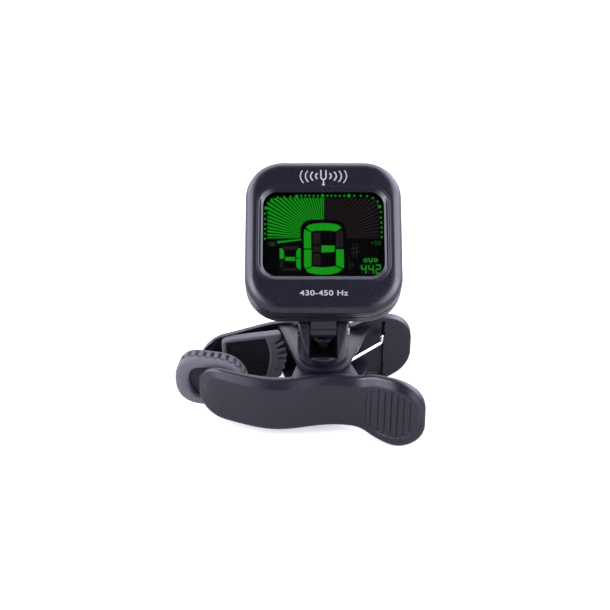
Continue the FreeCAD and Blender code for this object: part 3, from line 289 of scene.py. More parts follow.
def diffuser():
    mat = Material("diffuser_acrylic")
    colour = mat.ramp(mat.noise(scale=1400.0), low=(0.55, 0.62, 0.55), high=(0.75, 0.8, 0.75))
    return mat.done(Base_Color=colour, Roughness=0.35, Transmission_Weight=0.35)


def resin():
    mat = Material("resin_blob")
    colour = mat.ramp(mat.noise(scale=900.0), low=(0.008, 0.008, 0.008), high=(0.02, 0.02, 0.021))
    return mat.done(Base_Color=colour,
                    Roughness=mat.value(mat.noise(scale=2500.0), low=0.12, high=0.3))


def circuit_board():
    """Green board with wandering tracks and round pads."""
    mat = Material("circuit_board")
    wave = mat.node("ShaderNodeTexWave", wave_type="BANDS", bands_direction="X",
                    wave_profile="SAW")
    wave.inputs["Scale"].default_value = 260.0
    wave.inputs["Distortion"].default_value = 7.0
    wave.inputs["Detail"].default_value = 1.0
    mat.link(mat.coords, wave.inputs["Vector"])
    cells = mat.node("ShaderNodeTexVoronoi", feature="F1")
    cells.inputs["Scale"].default_value = 420.0
    mat.link(mat.coords, cells.inputs["Vector"])
    colour = mat.ramp(mat.noise(scale=300.0), low=(0.006, 0.06, 0.02), high=(0.01, 0.09, 0.03))
    tracks = mat.value(wave.outputs["Fac"], low=0.0, high=0.8, start=0.82, end=0.86)
    colour = mat.mix(tracks, colour, (0.02, 0.17, 0.06))
    pads = mat.value(cells.outputs["Distance"], low=1.0, high=0.0, start=0.18, end=0.2)
    colour = mat.mix(pads, colour, (0.6, 0.58, 0.5))
    mat.bump((tracks, 0.2, 0.00004))
    return mat.done(Base_Color=colour, Roughness=0.38)


def display_glass():
    mat = Material("display_glass")
    colour = mat.ramp(mat.noise(scale=700.0),
                      low=(0.0005, 0.0004, 0.0005), high=(0.0011, 0.0009, 0.0010))
    return mat.done(Base_Color=colour, Specular_IOR_Level=0.02,
                    Roughness=mat.value(mat.noise(scale=2600.0), low=0.45, high=0.6))


def display_lens():
    """Clear sheet: see-through, with a faint gloss at grazing angles."""
    mat = Material("display_lens")
    nodes = mat.tree.nodes
    nodes.remove(mat.shader)
    output = [n for n in nodes if n.type == "OUTPUT_MATERIAL"][0]
    clear = mat.node("ShaderNodeBsdfTransparent")
    clear.inputs["Color"].default_value = (0.97, 0.975, 0.98, 1)
    gloss = mat.node("ShaderNodeBsdfGlossy")
    mat.link(mat.value(mat.noise(scale=900.0), low=0.02, high=0.06), gloss.inputs["Roughness"])
    gloss.inputs["Color"].default_value = (1, 1, 1, 1)
    fresnel = mat.node("ShaderNodeFresnel")
    fresnel.inputs["IOR"].default_value = 1.12
    mixed = mat.node("ShaderNodeMixShader")
    for i, node in enumerate((fresnel, clear, gloss)):
        mat.link(node.outputs[0], mixed.inputs[i])
    mat.link(mixed.outputs[0], output.inputs["Surface"])
    return mat.material


def glow(name, colour):
    mat = Material(name)
    noise = mat.noise(scale=5200.0, detail=2.0, rough=0.5)
    emission = mat.ramp(noise, low=tint(colour, 0.82), high=colour)
    return mat.done(Base_Color=(0.01, 0.01, 0.01, 1), Roughness=0.6, Specular_IOR_Level=0.0,
                    Emission_Color=emission, Emission_Strength=1.0)


def printed_ink():
    mat = Material("printed_ink")
    noise = mat.noise(scale=2600.0, detail=3.0, rough=0.6)
    mat.bump((noise, 0.15, 0.00003))
    colour = mat.ramp(noise, low=linear("a9a9b2"), high=linear("c6c6cd"))
    return mat.done(Base_Color=colour, Roughness=0.55)


MATERIALS = {
    "head_plastic": plastic("moulded_head_plastic", "15141f", rough=0.31, grain=0.26,
                            wear=0.10, specular=0.42),
    "lever_plastic": plastic("moulded_lever_plastic", "181722", rough=0.36, grain=0.34,
                             wear=0.10, specular=0.42),
    "neck_plastic": neck_plastic(),
    "button_plastic": plastic("button_plastic", "3b3b42", rough=0.45, grain=0.5,
                              wear=0.1, specular=0.3),
    "grey_rubber": rubber("grey_rubber", "68686f"),
    # painted light: a lighter copy of the grey rubber, for the rear ring where the head shades it
    "pale_rubber": rubber("pale_rubber", "82828a"),
    "carrier_plastic": plastic("carrier_plastic", "2b2b30", rough=0.5, grain=0.3,
                               wear=0.06, specular=0.25),
    "bright_steel": metal("bright_spring_steel", "f6f6f8", rough=0.2, stretch=(1, 1, 12),
                          tarnish=0.1),
    "dark_steel": metal("blackened_steel", "4b4b50", rough=0.30, stretch=(8, 1, 1)),
    # painted shade: the swivel screw deep in the fork's slot is made near black and dull,
    # standing in for the shade there
    "steel_painted_slot_shade": metal("steel_painted_slot_shade", "1c1c1c", rough=0.5, stretch=(1, 8, 1)),
    "cell_steel": metal("cell_steel", "c4c5c8", rough=0.24, stretch=(1, 10, 1)),
    "brass_disc": metal("brass_disc", "c09a4a", rough=0.28, stretch=(10, 1, 1)),
    "washer_nylon": plastic("washer_nylon", "1b1b20", rough=0.5, grain=0.5, wear=0.0),
    "connector_rubber": rubber("connector_rubber", "c98aa0"),
    "diffuser": diffuser(),
    "resin": resin(),
    "board": circuit_board(),
    "lcd_glass": display_glass(),
    "lens_clear": display_lens(),
    "lit": glow("segments_lit", (0.0, 0.31, 0.0008)),
    "dim": glow("segments_dim", (0.0, 0.10, 0.004)),
    "unlit": glow("segments_unlit", (0.0068, 0.0036, 0.0034)),
    "ink": printed_ink(),
}

# material: the CAD pieces that wear it
WEARERS = {
    "head_plastic": "rear_case front_case battery_door",
    "lens_clear": "window_lens",
    "lcd_glass": "lcd_panel",
    "diffuser": "backlight_guide",
    "connector_rubber": "lcd_connector",
    "board": "circuit_board",
    "bright_steel": "tact_switches battery_contact_neg battery_contact_pos torsion_spring",
    "resin": "tuner_chip",
    "brass_disc": "piezo_disc",
    "cell_steel": "coin_cell hinge_nut",
    "button_plastic": "mode_button power_button pitch_button",
    "dark_steel": "case_screws hinge_screw",
    "neck_plastic": "swivel_yoke clip_pin",
    "washer_nylon": "hinge_washers swivel_washer",
    # the swivel screw's near-black steel is painted shade of the slot
    "steel_painted_slot_shade": "swivel_screw",
    "lever_plastic": "rear_lever front_lever",
    "grey_rubber": "front_pad rear_pad",
    "carrier_plastic": "front_shoe front_shoe_stud rear_shoe rear_shoe_rivets",
}
# bevel width in mm: the CAD pieces that get it
BEVELS = {
    0.05: "hinge_washers swivel_washer",
    0.08: "case_screws swivel_screw",
    0.1: "hinge_nut",
    0.12: "hinge_screw rear_shoe_rivets",
    0.16: "battery_door",
    0.18: "rear_case",
    0.2: "mode_button power_button pitch_button coin_cell front_shoe clip_pin",
    0.25: "rear_shoe",
}


def dress_cad_pieces():
    wears = {piece: key for key, pieces in WEARERS.items() for piece in pieces.split()}
    for piece, ob in frame["nodes"].items():
        material = MATERIALS[wears[piece]]
        if not ob.material_slots:
            ob.data.materials.append(material)
        for slot in ob.material_slots:
            slot.material = material
    for width, pieces in BEVELS.items():
        for piece in pieces.split():
            bevel = frame["nodes"][piece].modifiers.new("soft_edges", "BEVEL")
            bevel.width = width * MM
            bevel.segments = 3
            bevel.limit_method = "ANGLE"
            bevel.angle_limit = math.radians(38)


dress_cad_pieces()


# ------------------------------------------------------------------ mesh helpers
def finish_piece(name, mesh, body, material, sharp, replaces=()):
    """Shade and link a mesh, parent it to its body and hide the pieces it replaces; sharp is the
    crease angle in degrees.
    """
    mesh.materials.clear()
    mesh.materials.append(MATERIALS[material])
    for face in mesh.polygons:
        face.use_smooth = True
    mesh.set_sharp_from_angle(angle=math.radians(sharp))
    ob = bpy.data.objects.new(name, mesh)
    scene.collection.objects.link(ob)
    if body:
        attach(ob, body)
    if replaces:
        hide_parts(*replaces)
    return ob


def tidy(mesh, weld):
    """Weld points closer than weld (metres) and turn all faces outwards."""
    bm = bmesh.new()
    bm.from_mesh(mesh)
    bmesh.ops.remove_doubles(bm, verts=bm.verts, dist=weld)
    bmesh.ops.recalc_face_normals(bm, faces=bm.faces)
    bm.to_mesh(mesh)
    bm.free()


def make(name, verts, faces, place, body, slot, material, sharp, replaces=()):
    mesh = bpy.data.meshes.new(name)
    mesh.from_pydata([place(v) for v in verts], [], faces)
    tidy(mesh, 2e-7)
    return finish_piece(name, mesh, body, material, sharp, replaces)


def loft(rings, closed=True):
    """Faces through equal rings of points; closed joins the last ring to the first."""
    size = len(rings[0])
    verts = [p for ring in rings for p in ring]
    faces = []
    for a in range(len(rings) if closed else len(rings) - 1):
        b = (a + 1) % len(rings)
        for i in range(size):
            j = (i + 1) % size
            faces.append((a * size + i, a * size + j, b * size + j, b * size + i))
    return verts, faces


def rounded_rect(width, height, radius, centre_z, y, corner_steps=14, side_steps=10):
    points = []
    half_x, half_z = width / 2 - radius, height / 2 - radius
    corners = ((1, 1), (-1, 1), (-1, -1), (1, -1))
    for quarter, (side_x, side_z) in enumerate(corners):
        for i in range(corner_steps + 1):
            angle = math.radians(90 * (quarter + i / corner_steps))
            points.append((side_x * half_x + radius * math.cos(angle), y,
                           centre_z + side_z * half_z + radius * math.sin(angle)))
        x0, _, z0 = points[-1]
        next_x, next_z = corners[(quarter + 1) % 4]
        angle = math.radians(90 * (quarter + 1))
        x1 = next_x * half_x + radius * math.cos(angle)
        z1 = centre_z + next_z * half_z + radius * math.sin(angle)
        for i in range(1, side_steps):
            points.append((x0 + (x1 - x0) * i / side_steps, y, z0 + (z1 - z0) * i / side_steps))
    return points


def spline(points):
    """Natural cubic through (x, y) points, as a function of x."""
    count = len(points)
    xs = [p[0] for p in points]
    ys = [p[1] for p in points]
    gap = [xs[i + 1] - xs[i] for i in range(count - 1)]
    scale, ratio, part = [1.0], [0.0], [0.0]
    for i in range(1, count - 1):
        turn = 3 * ((ys[i + 1] - ys[i]) / gap[i] - (ys[i] - ys[i - 1]) / gap[i - 1])
        scale.append(2 * (xs[i + 1] - xs[i - 1]) - gap[i - 1] * ratio[i - 1])
        ratio.append(gap[i] / scale[i])
        part.append((turn - gap[i - 1] * part[i - 1]) / scale[i])
    first, second, third = [0.0] * count, [0.0] * count, [0.0] * count
    for j in range(count - 2, -1, -1):
        second[j] = part[j] - ratio[j] * second[j + 1]
        first[j] = (ys[j + 1] - ys[j]) / gap[j] - gap[j] * (second[j + 1] + 2 * second[j]) / 3
        third[j] = (second[j + 1] - second[j]) / (3 * gap[j])

    def curve(x):
        k = 0
        while k < count - 2 and x > xs[k + 1]:
            k += 1
        u = x - xs[k]
        return ys[k] + first[k] * u + second[k] * u * u + third[k] * u ** 3
    return curve


def smooth(t):
    """Ease from 0 to 1, held flat outside that span."""
    t = max(0.0, min(1.0, t))
    return t * t * (3 - 2 * t)


def interpolate(table, x):
    """Straight lines through a table of (x, value), held flat before its start and its end."""
    if x <= table[0][0]:
        return table[0][1]
    for (x0, v0), (x1, v1) in zip(table, table[1:]):
        if x <= x1:
            return v0 + (v1 - v0) * (x - x0) / (x1 - x0)
    return table[-1][1]


# ------------------------------------------------------------------ head: front shell
HEAD_WIDTH, HEAD_HEIGHT, HEAD_CORNER, HEAD_CENTRE_Z = 38.1, 39.0, 9.2, 19.2
WINDOW_WIDTH, WINDOW_HEIGHT, WINDOW_CORNER, WINDOW_CENTRE_Z = 29.4, 21.7, 3.5, 19.4
EDGE_ROLL = 2.7         # radius between the front face and the sides
EDGE_ROLL_Y = -13.52    # front of that radius

# (growth of the window outline, y), from inside the opening over its raised rim
WINDOW_LIP = [
    (0, -12.95), (0, -13.04), (0.08, -13.10), (0.80, -13.52), (0.92, -13.60), (1.02, -13.66),
    (1.14, -13.69), (1.28, -13.68), (1.42, -13.63), (1.60, -13.58), (2.2, -13.57)]
# (inset of the head outline, y)
FRONT_FACE = [(3.9, -13.56), (3.3, -13.54)]
SIDE_WALL = [
    (0, -9.6), (0.0, -8.50), (0.05, -8.36), (0.22, -8.28), (0.26, -8.14), (0.26, -8.02),
    (1.5, -8.0), (1.5, -11.0)]
# (growth of the window outline, y), behind the front face
INSIDE = [(1.5, -11.0), (1.5, -12.93)]


def window_ring(grow, y):
    return rounded_rect(WINDOW_WIDTH + 2 * grow, WINDOW_HEIGHT + 2 * grow,
                        WINDOW_CORNER + grow * 0.85, WINDOW_CENTRE_Z, y)


def head_ring(inset, y):
    return rounded_rect(HEAD_WIDTH - 2 * inset, HEAD_HEIGHT - 2 * inset,
                        HEAD_CORNER - inset * 0.95, HEAD_CENTRE_Z, y)


def build_front_shell():
    rings = [window_ring(*row) for row in WINDOW_LIP]
    rings += [head_ring(*row) for row in FRONT_FACE]
    for i in range(10):
        angle = math.radians(8 + 82 * i / 9)
        rings.append(head_ring(EDGE_ROLL * (1 - math.sin(angle)),
                               EDGE_ROLL_Y + EDGE_ROLL * (1 - math.cos(angle))))
    rings += [head_ring(*row) for row in SIDE_WALL]
    rings += [window_ring(*row) for row in INSIDE]
    make("front_shell", *loft(rings), head, "head", "head_plastic", "head_plastic", 50,
         ("front_case",))


build_front_shell()


# ------------------------------------------------------------------ display graphics
class Plates:
    """Thin upright plates between two y of the head frame, gathered in one mesh."""

    def __init__(self, y_front, y_back):
        self.levels = (y_front, y_back)
        self.verts, self.faces = [], []

    def add(self, points):
        """Add one plate with this (x, z) outline."""
        area = sum(a[0] * b[1] - b[0] * a[1] for a, b in zip(points, points[1:] + points[:1]))
        if area < 0:
            points = points[::-1]
        size, start = len(points), len(self.verts)
        for y in self.levels:
            self.verts += [(x, y, z) for x, z in points]
        self.faces.append(tuple(start + i for i in range(size)))
        self.faces.append(tuple(start + size + i for i in range(size - 1, -1, -1)))
        for i in range(size):
            j = (i + 1) % size
            self.faces.append((start + i, start + size + i, start + size + j, start + j))

    def build(self, name, material, slot):
        make(name, self.verts, self.faces, head, "head", slot, material, 20)


DISPLAY_Y = (-11.888, -11.862)
STRETCH = 1.05707       # dots, rays, figure bars and waves are this much taller than wide

# Dots along the display's border, (x, z)
BIG_DOT, SMALL_DOT = 0.41263, 0.24758   # half widths
TOP_DOT_Z = 29.77
BIG_DOTS = [(-0.20, TOP_DOT_Z), (6.24, TOP_DOT_Z), (13.67, 26.91), (-6.55, 29.60),
            (-14.02, 26.54)]
SMALL_DOTS = [(x, TOP_DOT_Z) for x in (-5.42, -4.38, -3.41, -2.38, -1.35, 0.98, 1.95, 2.94,
                                       3.97, 5.11, 7.54, 9.13)]
SMALL_DOTS += [
    (10.68, 29.68), (12.12, 29.16), (13.26, 28.22), (13.98, 25.50), (13.98, 24.03),
    (14.04, 22.73), (14.08, 21.46), (14.08, 20.26), (14.08, 19.02), (-8.04, 29.55),
    (-9.58, 29.49), (-11.15, 29.33), (-12.64, 28.79), (-13.54, 27.85), (-14.18, 25.08),
    (-14.18, 23.71), (-14.18, 22.36), (-14.18, 21.09), (-14.18, 19.85), (-14.18, 18.58)]

# Fan of bars between two arches, both measured from the hub before the stretch
HUB_X, HUB_Z = -0.05158, 18.69121
BAR_COUNT = 51
BAR_HALF_ANGLE = math.radians(1.06)
INNER_ARCH = {"left": -5.3024, "right": 5.2198, "top": 4.2914, "corner": 2.4758}
OUTER_ARCH = {"left": -13.5963, "right": 13.6168, "top": 9.9651, "corner": 2.1663}
INNER_GAP, OUTER_GAP = 0.28884, 0.04126
RAY_START, RAY_STEP = 0.103158, 0.0309474

# Outlines of single segments, (x, z)
LIT_SHAPES = [
    # sloping line left of the fan's hub
    [(-11.25, 17.91), (-5.35, 18.47), (-5.35, 18.19), (-11.17, 17.38)],
    # strokes of the large letter
    [(-4.28, 21.42), (-3.66, 22.07), (-2.42, 22.44), (-0.05, 22.62), (2.42, 22.44),
     (3.66, 22.07), (4.34, 21.42), (3.04, 20.44), (1.70, 20.65), (-0.05, 20.72),
     (-1.81, 20.65), (-3.00, 20.44)],
    [(-4.65, 21.05), (-3.04, 20.17), (-3.00, 16.07), (-4.73, 16.07), (-4.80, 19.13)],
    [(-4.73, 15.75), (-2.94, 15.75), (-2.94, 11.60), (-4.38, 10.73), (-4.73, 11.71)],
    [(-2.84, 11.39), (-0.05, 11.17), (2.94, 11.49), (4.38, 10.67), (3.35, 9.86),
     (1.70, 9.47), (-0.05, 9.36), (-2.01, 9.47), (-3.66, 9.86), (-4.28, 10.51)],
    [(2.98, 15.81), (4.84, 15.81), (4.90, 11.06), (4.59, 10.95), (2.98, 11.82)],
    [(-0.53, 16.84), (2.63, 16.77), (2.63, 15.16), (-0.57, 15.03)],
    # strokes of the small figure to its left
    [(-10.64, 16.07), (-10.06, 16.07), (-9.54, 15.31), (-9.54, 13.46), (-10.57, 13.35)],
    [(-6.14, 16.07), (-5.56, 16.07), (-5.52, 13.68), (-6.59, 13.68), (-6.59, 15.31)],
    [(-9.34, 13.89), (-6.86, 13.83), (-6.86, 12.85), (-9.34, 12.91)],
    [(-6.59, 13.46), (-5.52, 13.46), (-5.52, 10.62), (-5.83, 10.62), (-6.59, 11.39)],
]
UNLIT_SHAPES = [
    # strokes of the large letter
    [(3.04, 20.17), (4.63, 20.92), (4.80, 19.13), (4.76, 16.29), (2.98, 16.29)],
    [(-2.59, 20.11), (-0.77, 20.17), (-0.77, 17.12), (-2.59, 17.12)],
    [(-2.59, 16.68), (-0.86, 16.68), (-0.86, 15.16), (-2.59, 15.16)],
    [(-2.59, 14.72), (-0.77, 14.72), (-0.77, 11.80), (-2.59, 11.89)],
    # strokes of the small figure
    [(-10.26, 16.68), (-5.93, 16.68), (-6.65, 15.75), (-9.54, 15.75)],
    [(-10.57, 13.02), (-9.65, 12.80), (-9.65, 11.28), (-10.57, 10.62)],
    [(-10.06, 10.29), (-5.93, 10.29), (-6.65, 11.06), (-9.44, 11.06)],
    # sharp sign
    [(7.07, 17.38), (7.36, 17.43), (7.36, 13.76), (7.07, 13.72)],
    [(7.85, 17.38), (8.14, 17.43), (8.14, 13.76), (7.85, 13.72)],
    [(6.57, 16.12), (8.63, 16.51), (8.63, 16.16), (6.57, 15.77)],
    [(6.57, 14.98), (8.63, 15.38), (8.63, 15.03), (6.57, 14.63)],
    # flat sign: stem and bowl
    [(6.03, 13.89), (6.28, 13.89), (6.28, 10.67), (6.03, 10.62)],
    [(6.28, 12.15), (6.78, 12.41), (7.15, 12.06), (7.07, 11.41), (6.28, 10.62),
     (6.28, 10.97), (6.78, 11.54), (6.82, 11.89), (6.65, 11.97), (6.28, 11.76)],
]
# Pictogram of a reference pitch: two prongs, base and handle of a small fork, with waves
FORK_SHAPES = [
    [(10.82, 13.63), (11.07, 13.63), (11.07, 12.89), (10.82, 12.89)],
    [(11.56, 13.63), (11.81, 13.63), (11.81, 12.89), (11.56, 12.89)],
    [(10.82, 12.89), (11.81, 12.89), (11.69, 12.63), (10.95, 12.63)],
    [(11.21, 12.63), (11.42, 12.63), (11.42, 12.24), (11.21, 12.24)],
]
WAVE_X, WAVE_Z = 11.31642, 13.02085
WAVE_RADIUS, WAVE_PITCH, WAVE_WIDTH = 0.86653, 0.37137, 0.18568
WAVE_FLATNESS = 0.42 * STRETCH

# Bars of a seven-segment figure: a top, b and c right, d bottom, e and f left, g middle
FIGURE_BARS = {"0": "abcdef", "2": "abged", "4": "fgbc", "5": "afgcd", "-": "g", "+": "g"}


def add_dot(plates, x, z, radius, steps=16):
    angles = [2 * math.pi * i / steps for i in range(steps)]
    plates.add([(x + radius * math.cos(a), z - radius * STRETCH * math.sin(a)) for a in angles])


def in_arch(x, z, left, right, top, corner):
    """Inside a form with a round-cornered top, open below."""
    if x < left or x > right or z > top:
        return False
    centre = min(max(x, left + corner), right - corner)
    if z > top - corner and centre != x:
        return (x - centre) ** 2 + (z - top + corner) ** 2 <= corner * corner
    return True


def reach(angle, arch):
    """Distance from the hub, in small steps, at which a ray leaves the arch."""
    distance = RAY_START
    while in_arch(distance * math.cos(angle), distance * math.sin(angle), **arch):
        distance += RAY_STEP
    return distance


def fan_point(angle, distance):
    return (HUB_X + distance * math.cos(angle), HUB_Z + distance * STRETCH * math.sin(angle))


def add_fan():
    """Bars from left to right, lit up to the middle one."""
    for i in range(BAR_COUNT):
        middle = math.pi * (1 - i / (BAR_COUNT - 1.0))
        sides = []
        for side in (-1, 1):
            angle = min(max(middle + side * BAR_HALF_ANGLE, 0.0), math.pi)
            sides.append((fan_point(angle, reach(angle, INNER_ARCH) + INNER_GAP),
                          fan_point(angle, reach(angle, OUTER_ARCH) - OUTER_GAP)))
        (inner0, outer0), (inner1, outer1) = sides
        plates = lit if i <= (BAR_COUNT - 1) // 2 else unlit
        plates.add([inner0, outer0, outer1, inner1])


def add_figure(plates, char, left, top, width, height, bar, ghost=None):
    """One seven-segment figure; its unused bars go to ghost."""
    right, low, mid = left + width, top - height, top - height / 2
    gap = 0.16 * bar
    bar_z, gap_z = bar * STRETCH, gap * STRETCH     # upright bar thickness and gap
    in_left, in_right = left + bar, right - bar
    under_top, over_low = top - bar_z, low + bar_z
    over_mid, under_mid = mid + bar_z / 2, mid - bar_z / 2
    bars = {
        "a": [(left + gap, top), (right - gap, top),
              (in_right - gap, under_top), (in_left + gap, under_top)],
        "d": [(in_left + gap, over_low), (in_right - gap, over_low),
              (right - gap, low), (left + gap, low)],
        "g": [(left + bar * 0.9, over_mid), (right - bar * 0.9, over_mid),
              (right - bar * 0.5, mid), (right - bar * 0.9, under_mid),
              (left + bar * 0.9, under_mid), (left + bar * 0.5, mid)],
        "f": [(left, top - gap_z), (in_left, under_top - gap_z),
              (in_left, over_mid + gap_z), (left, mid + gap_z)],
        "e": [(left, mid - gap_z), (in_left, under_mid - gap_z),
              (in_left, over_low + gap_z), (left, low + gap_z)],
        "b": [(right, top - gap_z), (right, mid + gap_z),
              (in_right, over_mid + gap_z), (in_right, under_top - gap_z)],
        "c": [(right, mid - gap_z), (right, low + gap_z),
              (in_right, over_low + gap_z), (in_right, under_mid - gap_z)],
    }
    for key, points in bars.items():
        if key in FIGURE_BARS[char]:
            plates.add(points)
        elif ghost:
            ghost.add(points)
    if char == "+":
        x0, x1 = left + width / 2 - bar / 2, left + width / 2 + bar / 2
        z0, z1 = top - height * 0.22, top - height * 0.78
        plates.add([(x0, z0), (x1, z0), (x1, z1), (x0, z1)])


def add_figures(plates, text, left, pitch, **size):
    for i, char in enumerate(text):
        add_figure(plates, char, left + i * pitch, **size)


def add_waves():
    """Three flattened arcs on either side of the small fork."""
    for side in (-1, 1):
        for i in range(3):
            points = []
            inner = WAVE_RADIUS + i * WAVE_PITCH
            for radius, turn in ((inner, 1), (inner + WAVE_WIDTH, -1)):
                for degrees in range(-50, 51, 10):
                    angle = math.radians(turn * degrees)
                    points.append((WAVE_X + side * radius * math.cos(angle),
                                   WAVE_Z + radius * WAVE_FLATNESS * math.sin(angle)))
            lit.add(points)


lit, dim, unlit = (Plates(*DISPLAY_Y) for _ in range(3))
for radius, dots in ((BIG_DOT, BIG_DOTS), (SMALL_DOT, SMALL_DOTS)):
    for x, z in dots:
        add_dot(lit, x, z, radius)
add_fan()
for points in LIT_SHAPES:
    lit.add(points)
for points in UNLIT_SHAPES:
    unlit.add(points)
add_figures(lit, "442", left=8.9644, pitch=1.73305, top=11.9304, width=1.36168,
            height=2.39899, bar=0.30947, ghost=unlit)
add_figures(dim, "-50", left=-13.8541, pitch=0.74274, top=17.6444, width=0.55705,
            height=0.91598, bar=0.16505)
add_figures(dim, "+50", left=11.4402, pitch=0.86653, top=17.9497, width=0.63958,
            height=0.9596, bar=0.16505)
for points in FORK_SHAPES:
    lit.add(points)
add_waves()
lit.build("display_lit_segments", "lit", "lcd_glass")
dim.build("display_scale_numbers", "dim", "lcd_glass")
unlit.build("display_unlit_segments", "unlit", "lcd_glass")

# ------------------------------------------------------------------ printed marks on the face
MARK_Y = (-13.60, -13.35)
MARK_Z = 33.75
FORK_HALF, FORK_BEND_Z = 0.62, MARK_Z + 0.2
FORK_LINE = 0.34
RANGE_TEXT_Y, RANGE_TEXT_Z = -13.56, 4.1


def add_stroke(plates, points, width):
    """A pen line of even width through (x, z) points."""
    left, right = [], []
    for i, (x, z) in enumerate(points):
        x0, z0 = points[max(i - 1, 0)]
        x1, z1 = points[min(i + 1, len(points) - 1)]
        length = math.hypot(x1 - x0, z1 - z0)
        off_x, off_z = -(z1 - z0) / length * width / 2, (x1 - x0) / length * width / 2
        left.append((x + off_x, z + off_z))
        right.append((x - off_x, z - off_z))
    plates.add(left + right[::-1])


def print_fork_mark():
    """A U-shaped fork with a stem, a ball and four arcs on either side."""
    mark = Plates(*MARK_Y)
    prong_top = MARK_Z + 2.1
    prongs = [(-FORK_HALF, prong_top), (-FORK_HALF, FORK_BEND_Z)]
    for degrees in range(15, 180, 15):
        angle = math.radians(degrees)
        prongs.append((-FORK_HALF * math.cos(angle), FORK_BEND_Z - FORK_HALF * math.sin(angle)))
    prongs += [(FORK_HALF, FORK_BEND_Z), (FORK_HALF, prong_top)]
    add_stroke(mark, prongs, FORK_LINE)
    add_stroke(mark, [(0, MARK_Z - 0.5), (0, MARK_Z - 1.7)], FORK_LINE)
    ball = [2 * math.pi * i / 14 for i in range(14)]
    mark.add([(0.36 * math.cos(a), MARK_Z - 1.75 + 0.36 * math.sin(a)) for a in ball])
    for side in (-1, 1):
        for i in range(4):
            radius = 1.9 + i * 1.25
            span = 40 - i * 3
            angles = [math.radians(degrees) for degrees in range(-span, span + 1, 8)]
            add_stroke(mark, [(side * radius * math.cos(a),
                               MARK_Z + 0.5 + radius * 0.62 * math.sin(a)) for a in angles],
                       0.36 - 0.03 * i)
    mark.build("printed_fork_mark", "ink", "head_plastic")


def print_range():
    """The pitch range, low on the face, in letters a quarter wider than the font's."""
    name = "printed_range_numbers"
    text = bpy.data.curves.new(name + "_c", "FONT")
    text.body = "430-450 Hz"
    text.size = 1.85
    text.align_x = "CENTER"
    text.align_y = "CENTER"
    text.offset = 0.025
    text.extrude = 0.06
    text.resolution_u = 6
    text.space_character = 1.05
    work = bpy.data.objects.new(name + "_t", text)
    scene.collection.objects.link(work)
    depsgraph = bpy.context.evaluated_depsgraph_get()
    mesh = bpy.data.meshes.new_from_object(work.evaluated_get(depsgraph))
    bpy.data.objects.remove(work)
    for vert in mesh.vertices:
        across, up, out = vert.co
        vert.co = head((across * 1.25, RANGE_TEXT_Y - out, RANGE_TEXT_Z + up))
    mesh.name = name
    tidy(mesh, 1e-6)
    finish_piece(name, mesh, "head", "ink", 30)


print_fork_mark()
print_range()

# ------------------------------------------------------------------ levers
TIP_X = -30.9           # jaw end of both levers
TIP_CORNER = 6.2
NARROW_HALF = 7.6       # half width along the jaws
WIDE_HALF = 10.1        # half width at the finger grips
END_CORNER = 8.0
OUTLINE_POINTS = 110    # along half the outline

# (x, thickness of the rim)
RIM_DEPTH = [(-31, 1.4), (-28, 1.8), (-24, 2.4), (-15, 2.9), (-8, 2.8), (2.5, 2.4), (10, 2.5),
             (25, 2.7)]
WALL = 1.5              # greatest thickness within the rim
THINNED_RIM = 1.52      # rim thickness where the rear lever is thinned

# Rounding of the outer face: (inset from the outline, drop as a share of the chamfer)
WIDE_ROUNDING = [(0.0, 1.28), (0.06, 1.06), (0.22, 0.90), (0.9, 0.56), (1.6, 0.20),
                 (1.86, 0.085), (2.08, 0.03), (2.35, 0.0)]
NARROW_ROUNDING = [(0.0, 0.62), (0.06, 0.44), (0.22, 0.28), (0.45, 0.15), (0.7, 0.06),
                   (0.9, 0.02), (1.1, 0.0)]
FACE_INSETS = (0.0, 0.06, 0.22, 0.45, 0.7, 0.9, 1.25, 1.6, 1.86, 2.08, 2.35, 2.9, 3.6, 4.3,
               5.0, 5.8)
FLOOR_INSETS = (1.36, 2.2, 3.2, 4.4, 5.8)

GRIP_HALF_X, GRIP_HALF_Z, GRIP_CORNER = 6.4, 7.5, 5.4
GRIP_DEPTH, GROOVE_DEPTH, GROOVE_WIDTH = 0.16, 0.27, 0.17
GROOVES = (-5.2, -4.1, -2.4, -0.8, 0.7, 2.2, 3.7, 5.2)     # x from the grip's centre
EAR_BEVEL = 0.28

# side is the sign of y; outer_face is (x, distance of the outer face from the pivot's plane);
# ears are spans in z, each a web of (x, distance) points running into a round boss
REAR_LEVER = {
    "side": 1, "end_x": 22.8, "thinned": True, "grip_x": 13.8,
    "outer_face": [
        (-30.9, 4.6), (-27.5, 6.0), (-24.5, 7.2), (-22.1, 8.2), (-17.7, 10.1), (-13.4, 11.8),
        (-6.5, 12.7), (0.5, 11.8), (6.5, 11.2), (13.8, 11.8), (18.3, 12.8), (22.8, 13.8)],
    "ears": [(5.4, 7.0), (-7.0, -5.4)], "boss": 7.3,
    "web": [(-11.5, 11.2), (-8, 11.5), (-4, 11.4), (3, 10.4), (8, 10.2), (12.5, 10.7)],
}
FRONT_LEVER = {
    "side": -1, "end_x": 24.8, "thinned": False, "grip_x": 15.8,
    "outer_face": [
        (-30.9, 5.8), (-27.5, 7.9), (-24.5, 9.4), (-20, 11.2), (-15.1, 12.7), (-8.5, 13.0),
        (-2.5, 11.9), (2.5, 11.4), (6.5, 11.7), (11.3, 13.2), (16.2, 15.8), (19.9, 17.0),
        (24.8, 17.8)],
    "ears": [(3.6, 5.2), (-5.2, -3.6)], "boss": 5.6,
    "web": [(-9.2, 11.9), (-4, 11.1), (3, 10.3), (8, 11.0), (11, 12.0)],
}


